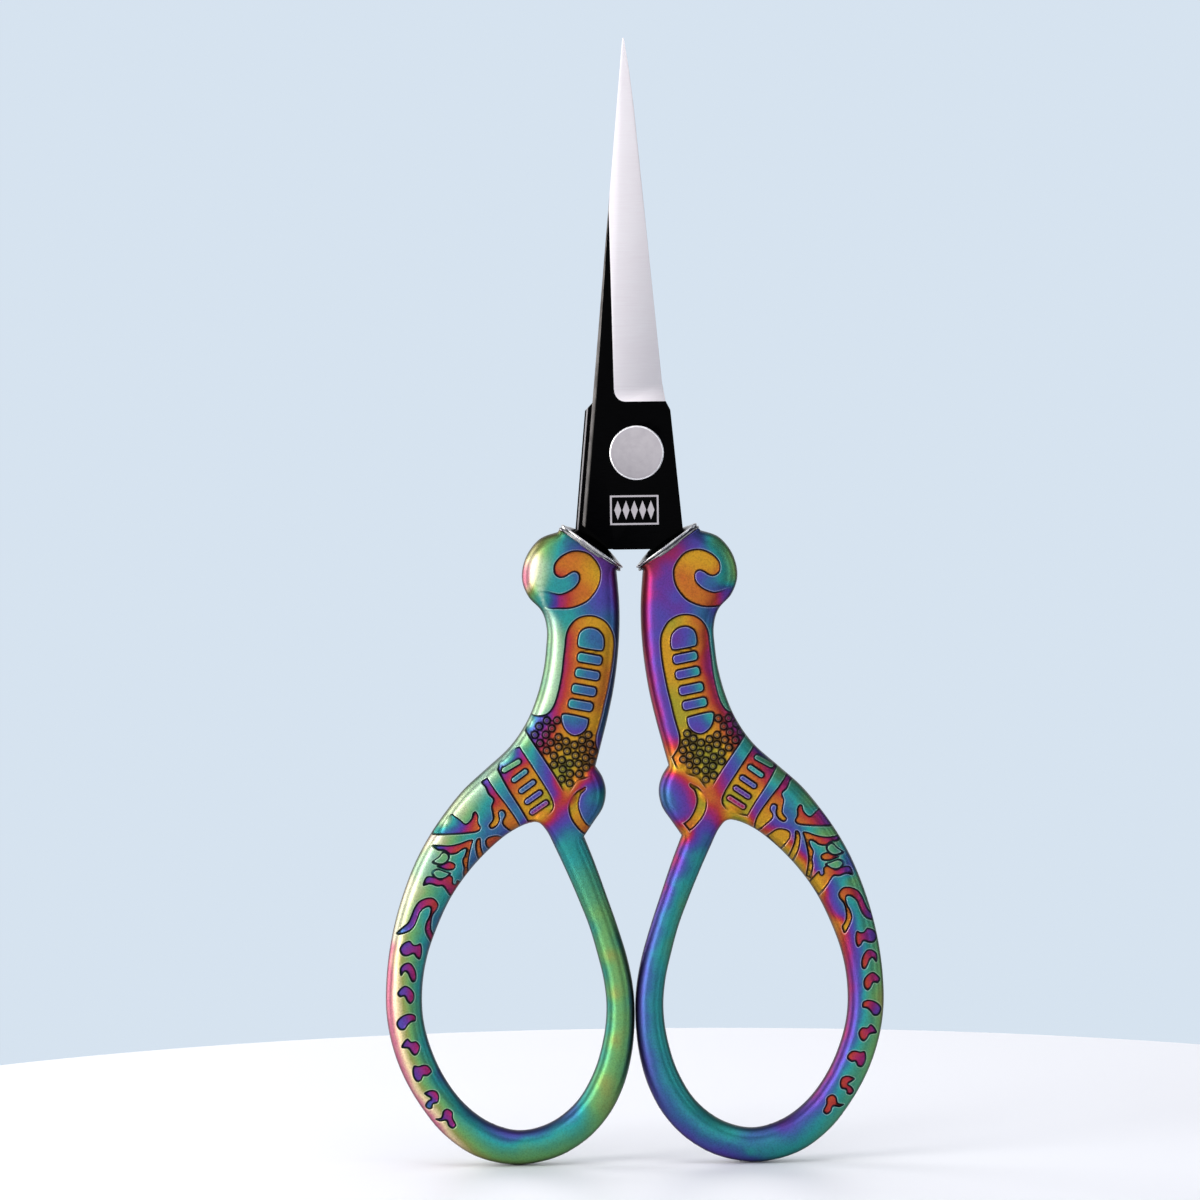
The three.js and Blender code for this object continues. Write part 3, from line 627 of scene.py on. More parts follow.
EDGE_STEP = 0.2
RING_DEPTHS = (0.03, 0.12, 0.27, 0.47, 0.71)
GRID_STEP = 0.25
RELIEF_STEP = 0.1
MERGE = 0.07  # the cell that holds one point
CELL_ROW = 1_000_003  # more cells than lie side by side
RING_SLACK = 0.96  # a ring's point stays if it is this share of its depth inside the outline
WALL_SLACK = 0.006  # how far off its level a wall's point may be
WALL_MARGIN = 0.06  # and how near the outline
GRID_MARGIN = RING_DEPTHS[-1] + 0.6 * GRID_STEP
LINE_MARGIN = 0.2  # the plain grid stays this far from relief lines
ON_RIM = 1e-3
OUTSIDE_RIM = 1e-4  # a triangle between three points of the rim is dropped if its middle is no deeper
SAME_POINT = 1e-6
MOUTH_CLEARANCE = (0.02, 1)  # above the line across the mouth, and how far below its outer end
MOUTH_LIFT = 0.3  # the shank runs this far up inside the collar
NECK_SHADE_DEPTH = 0.26  # painted shade next to the collar, as strong as this deep in from an edge
# how fast that painted shade next to the collar eases off below the mouth
NECK_SHADE_FADE = 0.12


def spread_out(points, keep):
    """Drops points that share a small cell with an earlier one. The first `keep` all stay."""
    for shift in (0.0, 0.5):
        cells = np.floor(points / MERGE + shift).astype(np.int64)
        _, first = np.unique(cells[:, 0] * CELL_ROW + cells[:, 1], return_index=True)
        chosen = np.zeros(len(points), bool)
        chosen[first] = True
        chosen[:keep] = True
        points = points[chosen]
    return points


def handle_outline():
    """The loop round the handle, whose last stretch is the mouth under the collar."""
    up = np.array([-math.sin(COLLAR_ANGLE), math.cos(COLLAR_ANGLE)]) * MOUTH_LIFT
    mouth = np.array([SHANK[-1], np.array(SHANK[-1]) + up, np.array(OUTSIDE[0]) + up, OUTSIDE[0]])
    curves = [spline(OUTSIDE), spline(KNOB), spline(SHANK), mouth]
    return np.concatenate([even_steps(curve, EDGE_STEP) for curve in curves]), mouth


def flat_handle(pattern):
    """The handle as a flat triangle mesh in the XZ plane, with points along every relief line:
    its points, its triangles and, for each point, how deep it lies inside the outline, whether it
    is on the rim, whether it is on the open part of the rim and how far it is below the mouth."""
    outline, mouth = handle_outline()
    hole = even_steps(spline(FINGER_HOLE, closed=True), EDGE_STEP, closed=True)

    def inside(points):
        return np.minimum(-signed_distance(points, outline), signed_distance(points, hole))

    edges = []
    for loop, first in ((outline, 0), (hole, len(outline))):
        count = len(loop)
        edges += [(first + i, first + (i + 1) % count) for i in range(count)]
    on_edge = np.concatenate([outline, hole])

    near_edge = []
    for loop in (outline, hole):
        normal = normals_of(loop)
        near_edge += [loop + side * depth * normal for depth in RING_DEPTHS for side in (-1, 1)]
    near_edge = np.concatenate(near_edge)
    depth_of = np.concatenate(
        [np.repeat(np.repeat(RING_DEPTHS, 2), len(loop)) for loop in (outline, hole)]
    )
    near_edge = near_edge[inside(near_edge) > RING_SLACK * depth_of]

    walls = []
    for loop in pattern.recesses + pattern.islands:
        line = even_steps(loop, RELIEF_STEP, closed=True)
        for level in WALL_LEVELS:
            walls += [line + level * normals_of(line), line - level * normals_of(line)]
    walls = np.concatenate(walls)
    height = pattern.distance(walls)
    walls = walls[np.abs(height[:, None] - WALL_LEVELS).min(1) < WALL_SLACK]
    walls = np.concatenate([walls, pattern.beads])
    walls = walls[inside(walls) > WALL_MARGIN]

    low, high = outline.min(0), outline.max(0)
    xs = np.arange(low[0], high[0], GRID_STEP)
    zs = np.arange(low[1], high[1], GRID_STEP * math.sqrt(3) / 2)
    grid_x, grid_z = np.meshgrid(xs, zs)
    grid_x[1::2] += GRID_STEP / 2
    grid = np.stack([grid_x.ravel(), grid_z.ravel()], axis=1)
    grid = grid[inside(grid) > GRID_MARGIN]
    grid = grid[np.abs(pattern.distance(grid)) > LINE_MARGIN]

    points = spread_out(np.concatenate([on_edge, walls, near_edge, grid]), len(on_edge))
    result = delaunay_2d_cdt([Vector(p) for p in points.tolist()], edges, [], 0, SAME_POINT)
    points = np.array([tuple(p) for p in result[0]])
    triangles = np.array(result[2])
    depth = inside(points)
    rim = depth < ON_RIM
    doubtful = rim[triangles].all(1)
    middles = points[triangles[doubtful]].mean(1)
    kept = np.ones(len(triangles), bool)
    kept[np.flatnonzero(doubtful)[inside(middles) < OUTSIDE_RIM]] = False
    triangles = triangles[kept]

    lowest = mouth[[0, 3]]
    across = lowest[1] - lowest[0]
    above = (points - lowest[0]) @ np.array([-across[1], across[0]]) / np.linalg.norm(across)
    over, under = MOUTH_CLEARANCE
    open_rim = rim & (above > over) & (points[:, 1] > lowest[0][1] - under)
    return points, triangles, depth, rim, open_rim, np.maximum(-above, 0)


SOLVER_STEPS = 1500
TINY = 1e-9  # the least area of a triangle, and the error at which the film is done


def membrane(points, triangles, fixed):
    """How high a film over the mesh rises under even pressure, when it is held down where fixed."""
    corner = points[triangles]
    side = corner[:, [2, 0, 1]] - corner[:, [1, 2, 0]]
    area = 0.5 * np.abs(side[:, 0, 0] * side[:, 1, 1] - side[:, 0, 1] * side[:, 1, 0])
    area = np.maximum(area, TINY)
    stiffness = np.einsum("tic,tjc->tij", side, side) / (4 * area)[:, None, None]
    count = len(points)
    flat = triangles.ravel()
    load = np.bincount(flat, np.repeat(area / 3, 3), count)
    diagonal = np.bincount(flat, stiffness[:, [0, 1, 2], [0, 1, 2]].ravel(), count)
    free = ~fixed

    def pull(film):
        forces = np.einsum("tij,tj->ti", stiffness, film[triangles])
        return np.bincount(flat, forces.ravel(), count) * free

    film = np.zeros(count)
    rest = load * free
    scaled = rest / diagonal
    step = scaled.copy()
    size = rest @ scaled
    for _ in range(SOLVER_STEPS):
        force = pull(step)
        share = size / (step @ force)
        film += share * step
        rest -= share * force
        scaled = rest / diagonal
        next_size = rest @ scaled
        if next_size < TINY:
            break
        step = scaled + (next_size / size) * step
        size = next_size
    return np.maximum(film, 0)


def film_phase(points, tints):
    """The plating's place in the run of colours, blended between the named points."""
    names = list(FILM)
    phases = []
    anchors = []
    for name, places in tints.items():
        phases += [names.index(name) * FILM_STEP] * len(places)
        anchors += places
    anchors = np.array(anchors)

    def spread(places):
        return np.sqrt(((places[:, None] - anchors) ** 2).sum(2) + TINT_SOFTNESS**2)

    level = np.mean(phases)
    pull = np.linalg.solve(spread(anchors) - TINT_SLACK * np.eye(len(anchors)), phases - level)
    return np.clip(spread(points) @ pull + level, 0, 1)


def set_floats(mesh, name, values):
    layer = mesh.attributes.new(name, "FLOAT", "POINT")
    layer.data.foreach_set("value", np.asarray(values, np.float32))


def between_rings(rings, count, first=0):
    """The faces between rings of count points each, numbered from the first."""
    faces = []
    for r in range(rings - 1):
        for k in range(count):
            a, b = first + r * count + k, first + r * count + (k + 1) % count
            faces += [(a, b, b + count), (a, b + count, a + count)]
    return faces


def build_mesh(name, points, faces, smooth=True):
    """A mesh object from points in millimetres and faces of three corners."""
    mesh = bpy.data.meshes.new(name)
    mesh.from_pydata((np.asarray(points) * MM).tolist(), [], np.asarray(faces).tolist())
    mesh.update()
    if smooth:
        mesh.shade_smooth()
    made = bpy.data.objects.new(name, mesh)
    bpy.context.scene.collection.objects.link(made)
    return made


def handle_surface(pattern):
    """Both faces of the right-hand handle: points, faces and what each point carries."""
    points, triangles, depth, rim, open_rim, below = flat_handle(pattern)
    closed_rim = rim & ~open_rim
    film = membrane(points, triangles, closed_rim)
    upward = smoothstep(THIN_BELOW, THICK_ABOVE, points[:, 1])
    limit = BOW_LIMIT + (SHANK_LIMIT - BOW_LIMIT) * upward
    fullness = BOW_FULLNESS + (SHANK_FULLNESS - BOW_FULLNESS) * upward
    flatness = BOW_FLATNESS + (SHANK_FLATNESS - BOW_FLATNESS) * upward
    swell = np.sqrt(2 * film) / (fullness * limit)
    height = limit * swell / (1 + swell**flatness) ** (1 / flatness)

    relief = pattern.distance(points)
    distinct = np.ones(len(points))
    for x, z, radius in pattern.fades:
        away = np.hypot(points[:, 0] - x, points[:, 1] - z)
        distinct *= smoothstep(FADE_CORE * radius, radius, away)
    sunk = distinct * (1 - smoothstep(WALL_FOOT, WALL_TOP, relief))
    carve = RELIEF_DEPTH * sunk * smoothstep(*CARVED_SHARE, height / limit)
    height = np.where(closed_rim, 0, height - carve)

    count = len(points)
    back_of = np.arange(count)
    back_of[~closed_rim] = count + np.arange((~closed_rim).sum())
    front = np.stack([points[:, 0], -height, points[:, 1]], axis=1)
    back = np.stack([points[:, 0], height, points[:, 1]], axis=1)[~closed_rim]

    corner = points[triangles]
    one, two = corner[:, 1] - corner[:, 0], corner[:, 2] - corner[:, 0]
    clockwise = one[:, 0] * two[:, 1] - one[:, 1] * two[:, 0] < 0
    triangles[clockwise] = triangles[clockwise][:, ::-1]
    faces = [triangles, back_of[triangles][:, ::-1]]

    sides = np.concatenate([triangles[:, [0, 1]], triangles[:, [1, 2]], triangles[:, [2, 0]]])
    keys = np.sort(sides, axis=1) @ np.array([count, 1])
    _, first, used = np.unique(keys, return_index=True, return_counts=True)
    border = sides[first[used == 1]]
    border = border[open_rim[border].any(1)]
    for a, b in border:
        for face in ((b, a, back_of[a]), (b, back_of[a], back_of[b])):
            if len(set(face)) == 3:
                faces.append(np.array([face]))
    # drives the painted shade along the outline and next to the collar, none on the open mouth
    edge_shade_depth = np.minimum(np.where(open_rim, 1, depth), NECK_SHADE_DEPTH + NECK_SHADE_FADE * below)
    carried = {
        "relief": relief, "distinct": distinct, "sunk": sunk, "bead": pattern.on_bead(points),
        "rim": edge_shade_depth,
    }
    both = {name: np.concatenate([v, v[~closed_rim]]) for name, v in carried.items()}
    flat_points = np.concatenate([points, points[~closed_rim]])
    return np.concatenate([front, back]), np.concatenate(faces), flat_points, both


def make_handle(side, top, ground, pale, slip):
    """One handle, with the colours of its top and of its sunk ground, the course of its painted
    highlight streak and its pattern's slip. The left-hand one is the right-hand one mirrored."""
    points, faces, flat_points, carried = handle_surface(Pattern(slip))
    if side == "left":
        points = points * (-1, 1, 1)
        faces = faces[:, ::-1]
    piece = build_mesh(f"{side}_handle_casting", points, faces)
    mesh = piece.data
    low = np.maximum(carried["sunk"], carried["bead"])
    high_film = film_phase(flat_points, top)
    low_film = film_phase(flat_points, ground)
    set_floats(mesh, "film", high_film * (1 - low) + low_film * low)
    # painted highlight: a lighter streak, kept off the sunk ground
    streak_highlight = np.zeros(len(flat_points))
    for x, z, radius in spline(pale, steps=HIGHLIGHT_STREAK_STEPS) if pale else []:
        away = np.hypot(flat_points[:, 0] - x, flat_points[:, 1] - z)
        streak_highlight = np.maximum(streak_highlight, np.exp(-((away / radius) ** 2)))
    set_floats(mesh, "pale", streak_highlight * (1 - low))
    for name, values in carried.items():
        set_floats(mesh, name, values)
    mesh.materials.append(rainbow_plating())
    return piece


# ---- collars ------------------------------------------------------------------------------------


def make_collar(side):
    """The oval flange at the mouth of a handle, with a groove round its rim and a crowned top."""
    sign = -1 if side == "left" else 1
    along = np.array([math.cos(COLLAR_ANGLE), math.sin(COLLAR_ANGLE)])
    up = np.array([-along[1], along[0]])
    count = COLLAR_STEPS
    turn = np.linspace(0, 2 * math.pi, count, endpoint=False)
    points, collar_highlight = [], []
    for share, height, painted_highlight in COLLAR_PROFILE[1:-1]:
        if side == "left" and COLLAR_GROOVE[0] < height < COLLAR_GROOVE[1]:
            painted_highlight = LEFT_GROOVE_HIGHLIGHT
        run = share * COLLAR_HALF_LENGTH * np.cos(turn)
        ring = np.array(COLLAR_CENTRE) + run[:, None] * along + height * up
        y = share * COLLAR_HALF_THICKNESS * np.sin(turn)
        points.append(np.stack([sign * ring[:, 0], y, ring[:, 1]], axis=1))
        collar_highlight += [painted_highlight] * count
    rings = len(points)
    for _, height, painted_highlight in (COLLAR_PROFILE[0], COLLAR_PROFILE[-1]):
        middle = np.array(COLLAR_CENTRE) + height * up
        points.append(np.array([[sign * middle[0], 0, middle[1]]]))
        collar_highlight.append(painted_highlight)
    faces = between_rings(rings, count)
    last = (rings - 1) * count
    for k in range(count):
        faces.append((rings * count, (k + 1) % count, k))
        faces.append((rings * count + 1, last + k, last + (k + 1) % count))
    faces = np.array(faces)
    if side == "right":
        faces = faces[:, ::-1]
    piece = build_mesh(f"{side}_collar", np.concatenate(points), faces)
    # painted highlights on the rim's lips
    set_floats(piece.data, "collar_highlight", collar_highlight)
    piece.data.materials.append(collar_metal())
    return piece


# ---- steel pieces -------------------------------------------------------------------------------

WELD = 1e-6
ON_CUT = 1e-5  # a corner this near the cut is not cut off
FLAT_ANGLE = math.radians(0.4)  # faces that meet at less than this are one face
SHARP_ANGLE = math.radians(22)  # edges above this are rounded
ROUNDING_SEGMENTS = 3
BLADE_ROUNDING = 0.09
PIVOT_ROUNDING = 0.1


def refined(node, name, bevel, finishes, choose, cut_at=None):
    """A copy of a CAD solid with clean flat faces, small rounded edges and a finish for each face.
    The last finish is that of the rounded edges. Faces are split at the height cut_at, so that
    the finish can change there."""
    made = bmesh.new()
    made.from_mesh(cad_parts[node].data)
    bmesh.ops.remove_doubles(made, verts=made.verts, dist=WELD)
    bmesh.ops.dissolve_limit(made, angle_limit=FLAT_ANGLE, verts=made.verts, edges=made.edges)
    if cut_at is not None:
        everything = [*made.verts, *made.edges, *made.faces]
        plane = {"plane_co": (0, 0, cut_at * MM), "plane_no": (0, 0, 1)}
        bmesh.ops.bisect_plane(made, geom=everything, dist=ON_CUT, **plane)
    for face in made.faces:
        face.material_index = choose(face.normal, face.calc_center_median() / MM)
    mesh = bpy.data.meshes.new(name)
    made.to_mesh(mesh)
    made.free()
    for finish in finishes:
        mesh.materials.append(finish)
    mesh.shade_smooth()
    piece = bpy.data.objects.new(name, mesh)
    bpy.context.scene.collection.objects.link(piece)
    rounding = piece.modifiers.new("rounded_edges", "BEVEL")
    rounding.width = bevel * MM
    rounding.segments = ROUNDING_SEGMENTS
    rounding.limit_method = "ANGLE"
    rounding.angle_limit = SHARP_ANGLE
    rounding.harden_normals = True
    rounding.material = len(finishes) - 1
    return piece


BLACK, GROUND, CHAMFER = range(3)
SHOULDER_Z = 86.9
FLAT_ON = 0.8  # how much of a normal points outwards on a face and on a slanted face
SLANTED = 0.4
GRIND_SLOPE = 0.08  # the least of it that points across on the ground face


def blade_face(facing):
    """Picks a blade face's finish. `facing` is -1 where the blade's outer face looks to the front."""

    def choose(normal, centre):
        outward = normal.y * facing
        across = -normal.x * facing
        if outward > FLAT_ON and across > GRIND_SLOPE:
            return GROUND
        if outward > SLANTED and across < -SLANTED:
            return CHAMFER
        if outward < -FLAT_ON and centre.z > SHOULDER_Z:
            return GROUND
        return BLACK

    return choose


def any_face(normal, centre):
    return 0


# ---- the blank ornament on the front blade ------------------------------------------------------

BAND_CENTRE = (0.62, 74.62)
BAND_SIZE = (5.5, 3.35)
BAND_LINE = 0.2
BAND_HEIGHT = 0.025
LOZENGES = 5
LOZENGE_WIDTH = 0.84  # as a share of the distance between two


def make_ornament():
    """A plain framed band with a row of lozenges, lying just proud of the front blade."""
    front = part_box("front_blade")[0].y / MM
    half_x, half_z = BAND_SIZE[0] / 2, BAND_SIZE[1] / 2
    outer = [(-half_x, -half_z), (half_x, -half_z), (half_x, half_z), (-half_x, half_z)]
    shapes = []
    for k in range(4):
        (ax, az), (bx, bz) = outer[k], outer[(k + 1) % 4]
        inset = [
            (x - math.copysign(BAND_LINE, x), z - math.copysign(BAND_LINE, z))
            for x, z in ((bx, bz), (ax, az))
        ]
        shapes.append([(ax, az), (bx, bz), *inset])
    pitch = (BAND_SIZE[0] - 4 * BAND_LINE) / LOZENGES
    for k in range(LOZENGES):
        x = (k - (LOZENGES - 1) / 2) * pitch
        wide, high = LOZENGE_WIDTH / 2 * pitch, half_z - 3 * BAND_LINE
        shapes.append([(x - wide, 0), (x, -high), (x + wide, 0), (x, high)])
    points, faces = [], []
    for shape in shapes:
        first = len(points)
        for y in (front - BAND_HEIGHT, front + BAND_HEIGHT):
            points += [(BAND_CENTRE[0] + x, y, BAND_CENTRE[1] + z) for x, z in shape]
        faces += [(first, first + 1, first + 2), (first, first + 2, first + 3)]
        faces += [(first + 4, first + 6, first + 5), (first + 4, first + 7, first + 6)]
        for k in range(4):
            a, b = first + k, first + (k + 1) % 4
            faces += [(a, a + 4, b + 4), (a, b + 4, b)]
    piece = build_mesh("blade_ornament", points, faces, smooth=False)
    piece.data.materials.append(satin_steel("ornament_silver", ORNAMENT_ROUGHNESS))
    return piece


# ---- materials ----------------------------------------------------------------------------------
# A noise's scale is per millimetre, and a bump's depth is in millimetres.


def node(tree, kind, inputs=(), **settings):
    """Adds a shader node. An input's value is a number, a colour or another node's output."""
    made = tree.nodes.new("ShaderNode" + kind)
    for key, value in settings.items():
        setattr(made, key, value)
    for key, value in dict(inputs).items():
        if isinstance(value, bpy.types.NodeSocket):
            tree.links.new(value, made.inputs[key])
        else:
            made.inputs[key].default_value = value
    return made


def material(name):
    made = bpy.data.materials.new(name)
    made.use_nodes = True
    tree = made.node_tree
    shader = tree.nodes["Principled BSDF"]
    place = node(tree, "TexCoord").outputs["Object"]
    in_mm = node(tree, "VectorMath", {0: place, "Scale": 1 / MM}, operation="SCALE")
    return made, tree, shader, in_mm.outputs["Vector"]


def linear(colour):
    return tuple(((c + 0.055) / 1.055) ** 2.4 if c > 0.04045 else c / 12.92 for c in colour) + (1,)


def ramp(tree, value, stops):
    """A colour ramp over (place, colour) stops. A number stands for a grey."""
    made = node(tree, "ValToRGB", {"Fac": value})
    band = made.color_ramp
    while len(band.elements) < len(stops):
        band.elements.new(0.5)
    for element, (place, colour) in zip(band.elements, stops):
        element.position = place
        element.color = (colour,) * 3 + (1,) if isinstance(colour, (int, float)) else colour
    return made.outputs["Color"]


def maths(tree, operation, first, second=0.0, third=0.0):
    made = node(tree, "Math", {0: first, 1: second, 2: third}, operation=operation)
    return made.outputs[0]


def weighed(tree, first, second, share):
    """The mean of two values, with the first one's share given."""
    rest = maths(tree, "MULTIPLY", second, 1 - share)
    return maths(tree, "MULTIPLY_ADD", first, share, rest)


def noise(tree, vector, scale, detail=3.0, roughness=0.5):
    inputs = {"Vector": vector, "Scale": scale, "Detail": detail, "Roughness": roughness}
    return node(tree, "TexNoise", inputs).outputs["Fac"]


def mixed(tree, share, first, second, blend="MIX"):
    inputs = {"Fac": share, "Color1": first, "Color2": second}
    return node(tree, "MixRGB", inputs, blend_type=blend).outputs["Color"]


def attribute(tree, name):
    return node(tree, "Attribute", attribute_name=name).outputs["Fac"]


def component(tree, vector, axis):
    return node(tree, "SeparateXYZ", {"Vector": vector}).outputs[axis]


def bump(tree, shader, height, depth, strength):
    inputs = {"Height": height, "Distance": depth * MM, "Strength": strength}
    tree.links.new(node(tree, "Bump", inputs).outputs["Normal"], shader.inputs["Normal"])


def surface(tree, shader, colour, wear, roughness, metallic=1.0):
    """Links the colour and a roughness that goes from one value to another as the wear rises."""
    smooth, rough = roughness
    tree.links.new(colour, shader.inputs["Base Color"])
    worn = maths(tree, "MULTIPLY_ADD", wear, rough - smooth, smooth)
    tree.links.new(worn, shader.inputs["Roughness"])
    shader.inputs["Metallic"].default_value = metallic


def two_tone(tree, value, low, high, places=(0.3, 0.7)):
    """Blends from one sRGB colour to another while the value rises between two places."""
    return ramp(tree, value, [(places[0], linear(low)), (places[1], linear(high))])


# Brightness over the distance from a relief line, in millimetres: painted shade at the foot of the
# relief's walls and on the beads, and a painted highlight on the raised side of the line.
LINE_SHADE = [(-FAR, 1.0), (-0.24, 1.0), (-0.14, 0.12), (-0.04, 0.02), (0.02, 0.35), (0.06, 1.0)]
# painted highlight: a light line on the raised side of each relief line
LINE_HIGHLIGHT = [(-FAR, 0.0), (0.04, 0.0), (0.075, 0.34), (0.11, 0.08), (0.16, 0.0)]
# painted shade on the beads, lifted at their crowns
BEAD_SHADE = [(-FAR, 0.3), (0.16, 0.3), (0.3, 1.0)]
EDGE_SHADE = [(0.0, 0.1), (0.13, 0.45), (0.45, 1.0)]  # painted shade along the handle's outline, over the depth inside it
PIT_SHADE = [(0.32, 0.72), (0.56, 1.0)]
LINE_HIGHLIGHT_COLOUR = (0.95, 0.93, 0.85, 1)
# The painted highlight streak: its lighter colour, and the share of it mixed in at the streak's middle.
STREAK_HIGHLIGHT_COLOUR = (0.80, 0.88, 0.78)
STREAK_HIGHLIGHT_SHARE = 0.6
CLOUD_SHIFT = 0.044  # how far the broad noise moves the film's colour, and the fine noise
GRAIN_SHIFT = 0.05


def rainbow_plating():
    """Interference-coloured plating over a fine cast grain, with painted shade in the relief's
    corners, along the outline, next to the collar and on the beads, and painted highlights beside
    the relief lines and in a streak.
    """
    if "rainbow_plating" in bpy.data.materials:
        return bpy.data.materials["rainbow_plating"]
    made, tree, shader, where = material("rainbow_plating")
    cloud = noise(tree, where, 0.9, detail=4, roughness=0.55)
    grain = noise(tree, where, 7.0, roughness=0.6)
    pits = noise(tree, where, 5.0, detail=4, roughness=0.65)
    drift = maths(tree, "MULTIPLY_ADD", cloud, CLOUD_SHIFT, -CLOUD_SHIFT / 2)
    speckle = maths(tree, "MULTIPLY_ADD", grain, GRAIN_SHIFT, -GRAIN_SHIFT / 2)
    phase = maths(tree, "ADD", attribute(tree, "film"), maths(tree, "ADD", drift, speckle))
    colour = ramp(tree, phase, [(i * FILM_STEP, linear(c)) for i, c in enumerate(FILM.values())])
    # painted highlight: the streak's lighter colour mixed in
    painted_streak = maths(tree, "MULTIPLY", attribute(tree, "pale"), STREAK_HIGHLIGHT_SHARE)
    colour = mixed(tree, painted_streak, colour, linear(STREAK_HIGHLIGHT_COLOUR))

    relief = maths(tree, "ADD", attribute(tree, "relief"), FAR)
    relief = maths(tree, "DIVIDE", relief, 2 * FAR)

    def over_relief(stops):
        return ramp(tree, relief, [((FAR + place) / (2 * FAR), grey) for place, grey in stops])

    def darker(share, colour, shade):
        return mixed(tree, share, colour, mixed(tree, 1.0, colour, shade, "MULTIPLY"))

    distinct = attribute(tree, "distinct")
    # painted highlight along the relief lines
    line_highlight = maths(tree, "MULTIPLY", over_relief(LINE_HIGHLIGHT), distinct)
    colour = mixed(tree, line_highlight, colour, LINE_HIGHLIGHT_COLOUR, "SCREEN")
    # painted shade in the relief's corners, a dark line at the foot of each wall
    colour = darker(distinct, colour, over_relief(LINE_SHADE))
    # painted shade along the handle's outline and next to the collar
    colour = mixed(tree, 1.0, colour, ramp(tree, attribute(tree, "rim"), EDGE_SHADE), "MULTIPLY")
    # painted shade on the beads
    colour = darker(attribute(tree, "bead"), colour, over_relief(BEAD_SHADE))
    colour = mixed(tree, 1.0, colour, ramp(tree, pits, PIT_SHADE), "MULTIPLY")

    surface(tree, shader, colour, grain, roughness=(0.34, 0.48))
    shader.inputs["Specular Tint"].default_value = (0.45, 0.45, 0.45, 1)
    shader.inputs["Coat Weight"].default_value = 0.3
    shader.inputs["Coat Roughness"].default_value = 0.42
    rise = maths(tree, "MULTIPLY_ADD", grain, 0.4, pits)
    bump(tree, shader, rise, depth=0.018, strength=0.4)
    return made


def collar_metal():
    """Dark cast metal, with painted highlights on the collar's lips."""
    if "collar_metal" in bpy.data.materials:
        return bpy.data.materials["collar_metal"]
    made, tree, shader, where = material("collar_metal")
    mottle = noise(tree, where, 2.2, detail=4, roughness=0.6)
    dark = two_tone(tree, mottle, (0.06, 0.06, 0.09), (0.20, 0.22, 0.24))
    painted_highlight = two_tone(tree, mottle, (0.62, 0.60, 0.66), (0.86, 0.86, 0.84))
    colour = mixed(tree, attribute(tree, "collar_highlight"), dark, painted_highlight)
    surface(tree, shader, colour, mottle, roughness=(0.15, 0.35))
    bump(tree, shader, noise(tree, where, 6.0), depth=0.006, strength=0.3)
    return made


RICASSO_EDGE = (Vector((-4.84, 0, 85.9)), Vector((-6.08, 0, 72.6)))  # of the rear blade, on the left
RICASSO_HIGHLIGHT = [(0.14, 0.0), (0.19, 1.0), (0.29, 1.0), (0.34, 0.0)]  # how strong the painted highlight is, over the depth inside it
HIGHLIGHT_FACE_Y = 0.5  # the inner face lies in front of this
OUTER_FACE_Y = 1.52  # of both blades, in front and behind
CHAMFER_SHADE = [(0.86, 1.0), (0.99, 0.03)]  # painted shade darkening the chamfer next to the outer face, over the share of the way to it
RICASSO_HIGHLIGHT_COLOUR = (0.66, 0.65, 0.66)
BLACK_BASE = [(0.3, (0.0002, 0.0002, 0.0003, 1)), (0.75, (0.0012, 0.0012, 0.0016, 1))]


def black_coat():
    """Glossy black coating, with faint polishing marks, and a painted highlight along the rear ricasso's
    left edge.
    """
    made, tree, shader, where = material("black_coat")
    fine = node(tree, "Mapping", {"Vector": where, "Scale": (0.6, 1.0, 9.0)}).outputs["Vector"]
    marks = noise(tree, fine, 1.4, detail=4, roughness=0.6)
    top, foot = RICASSO_EDGE
    along = (foot - top).normalized()
    inward = Vector((-along.z, 0, along.x))
    reach = node(tree, "VectorMath", {0: where, 1: inward}, operation="DOT_PRODUCT").outputs["Value"]
    # painted highlight along the ricasso's edge, on the inner face only
    worn = ramp(tree, maths(tree, "SUBTRACT", reach, top.dot(inward)), RICASSO_HIGHLIGHT)
    on_inner_face = maths(tree, "LESS_THAN", component(tree, where, "Y"), HIGHLIGHT_FACE_Y)
    worn = maths(tree, "MULTIPLY", worn, on_inner_face)
    colour = mixed(tree, worn, ramp(tree, marks, BLACK_BASE), linear(RICASSO_HIGHLIGHT_COLOUR))
    surface(tree, shader, colour, marks, roughness=(0.12, 0.24), metallic=0.0)
    shader.inputs["Specular IOR Level"].default_value = 0.015
    bump(tree, shader, marks, depth=0.004, strength=0.25)
    return made


def chamfer_coat():
    """The same coating thinned by polishing on the chamfers, with painted shade darkening it next to the
    outer face.
    """
    made, tree, shader, where = material("chamfer_coat")
    marks = noise(tree, where, 0.5, detail=2)
    depth = maths(tree, "DIVIDE", maths(tree, "ABSOLUTE", component(tree, where, "Y")), OUTER_FACE_Y)
    colour = two_tone(tree, marks, (0.50, 0.48, 0.47), (0.64, 0.62, 0.61), places=(0.3, 0.75))
    # painted shade next to the outer face
    colour = mixed(tree, 1.0, colour, ramp(tree, depth, CHAMFER_SHADE), "MULTIPLY")
    surface(tree, shader, colour, marks, roughness=(0.3, 0.4))
    return made


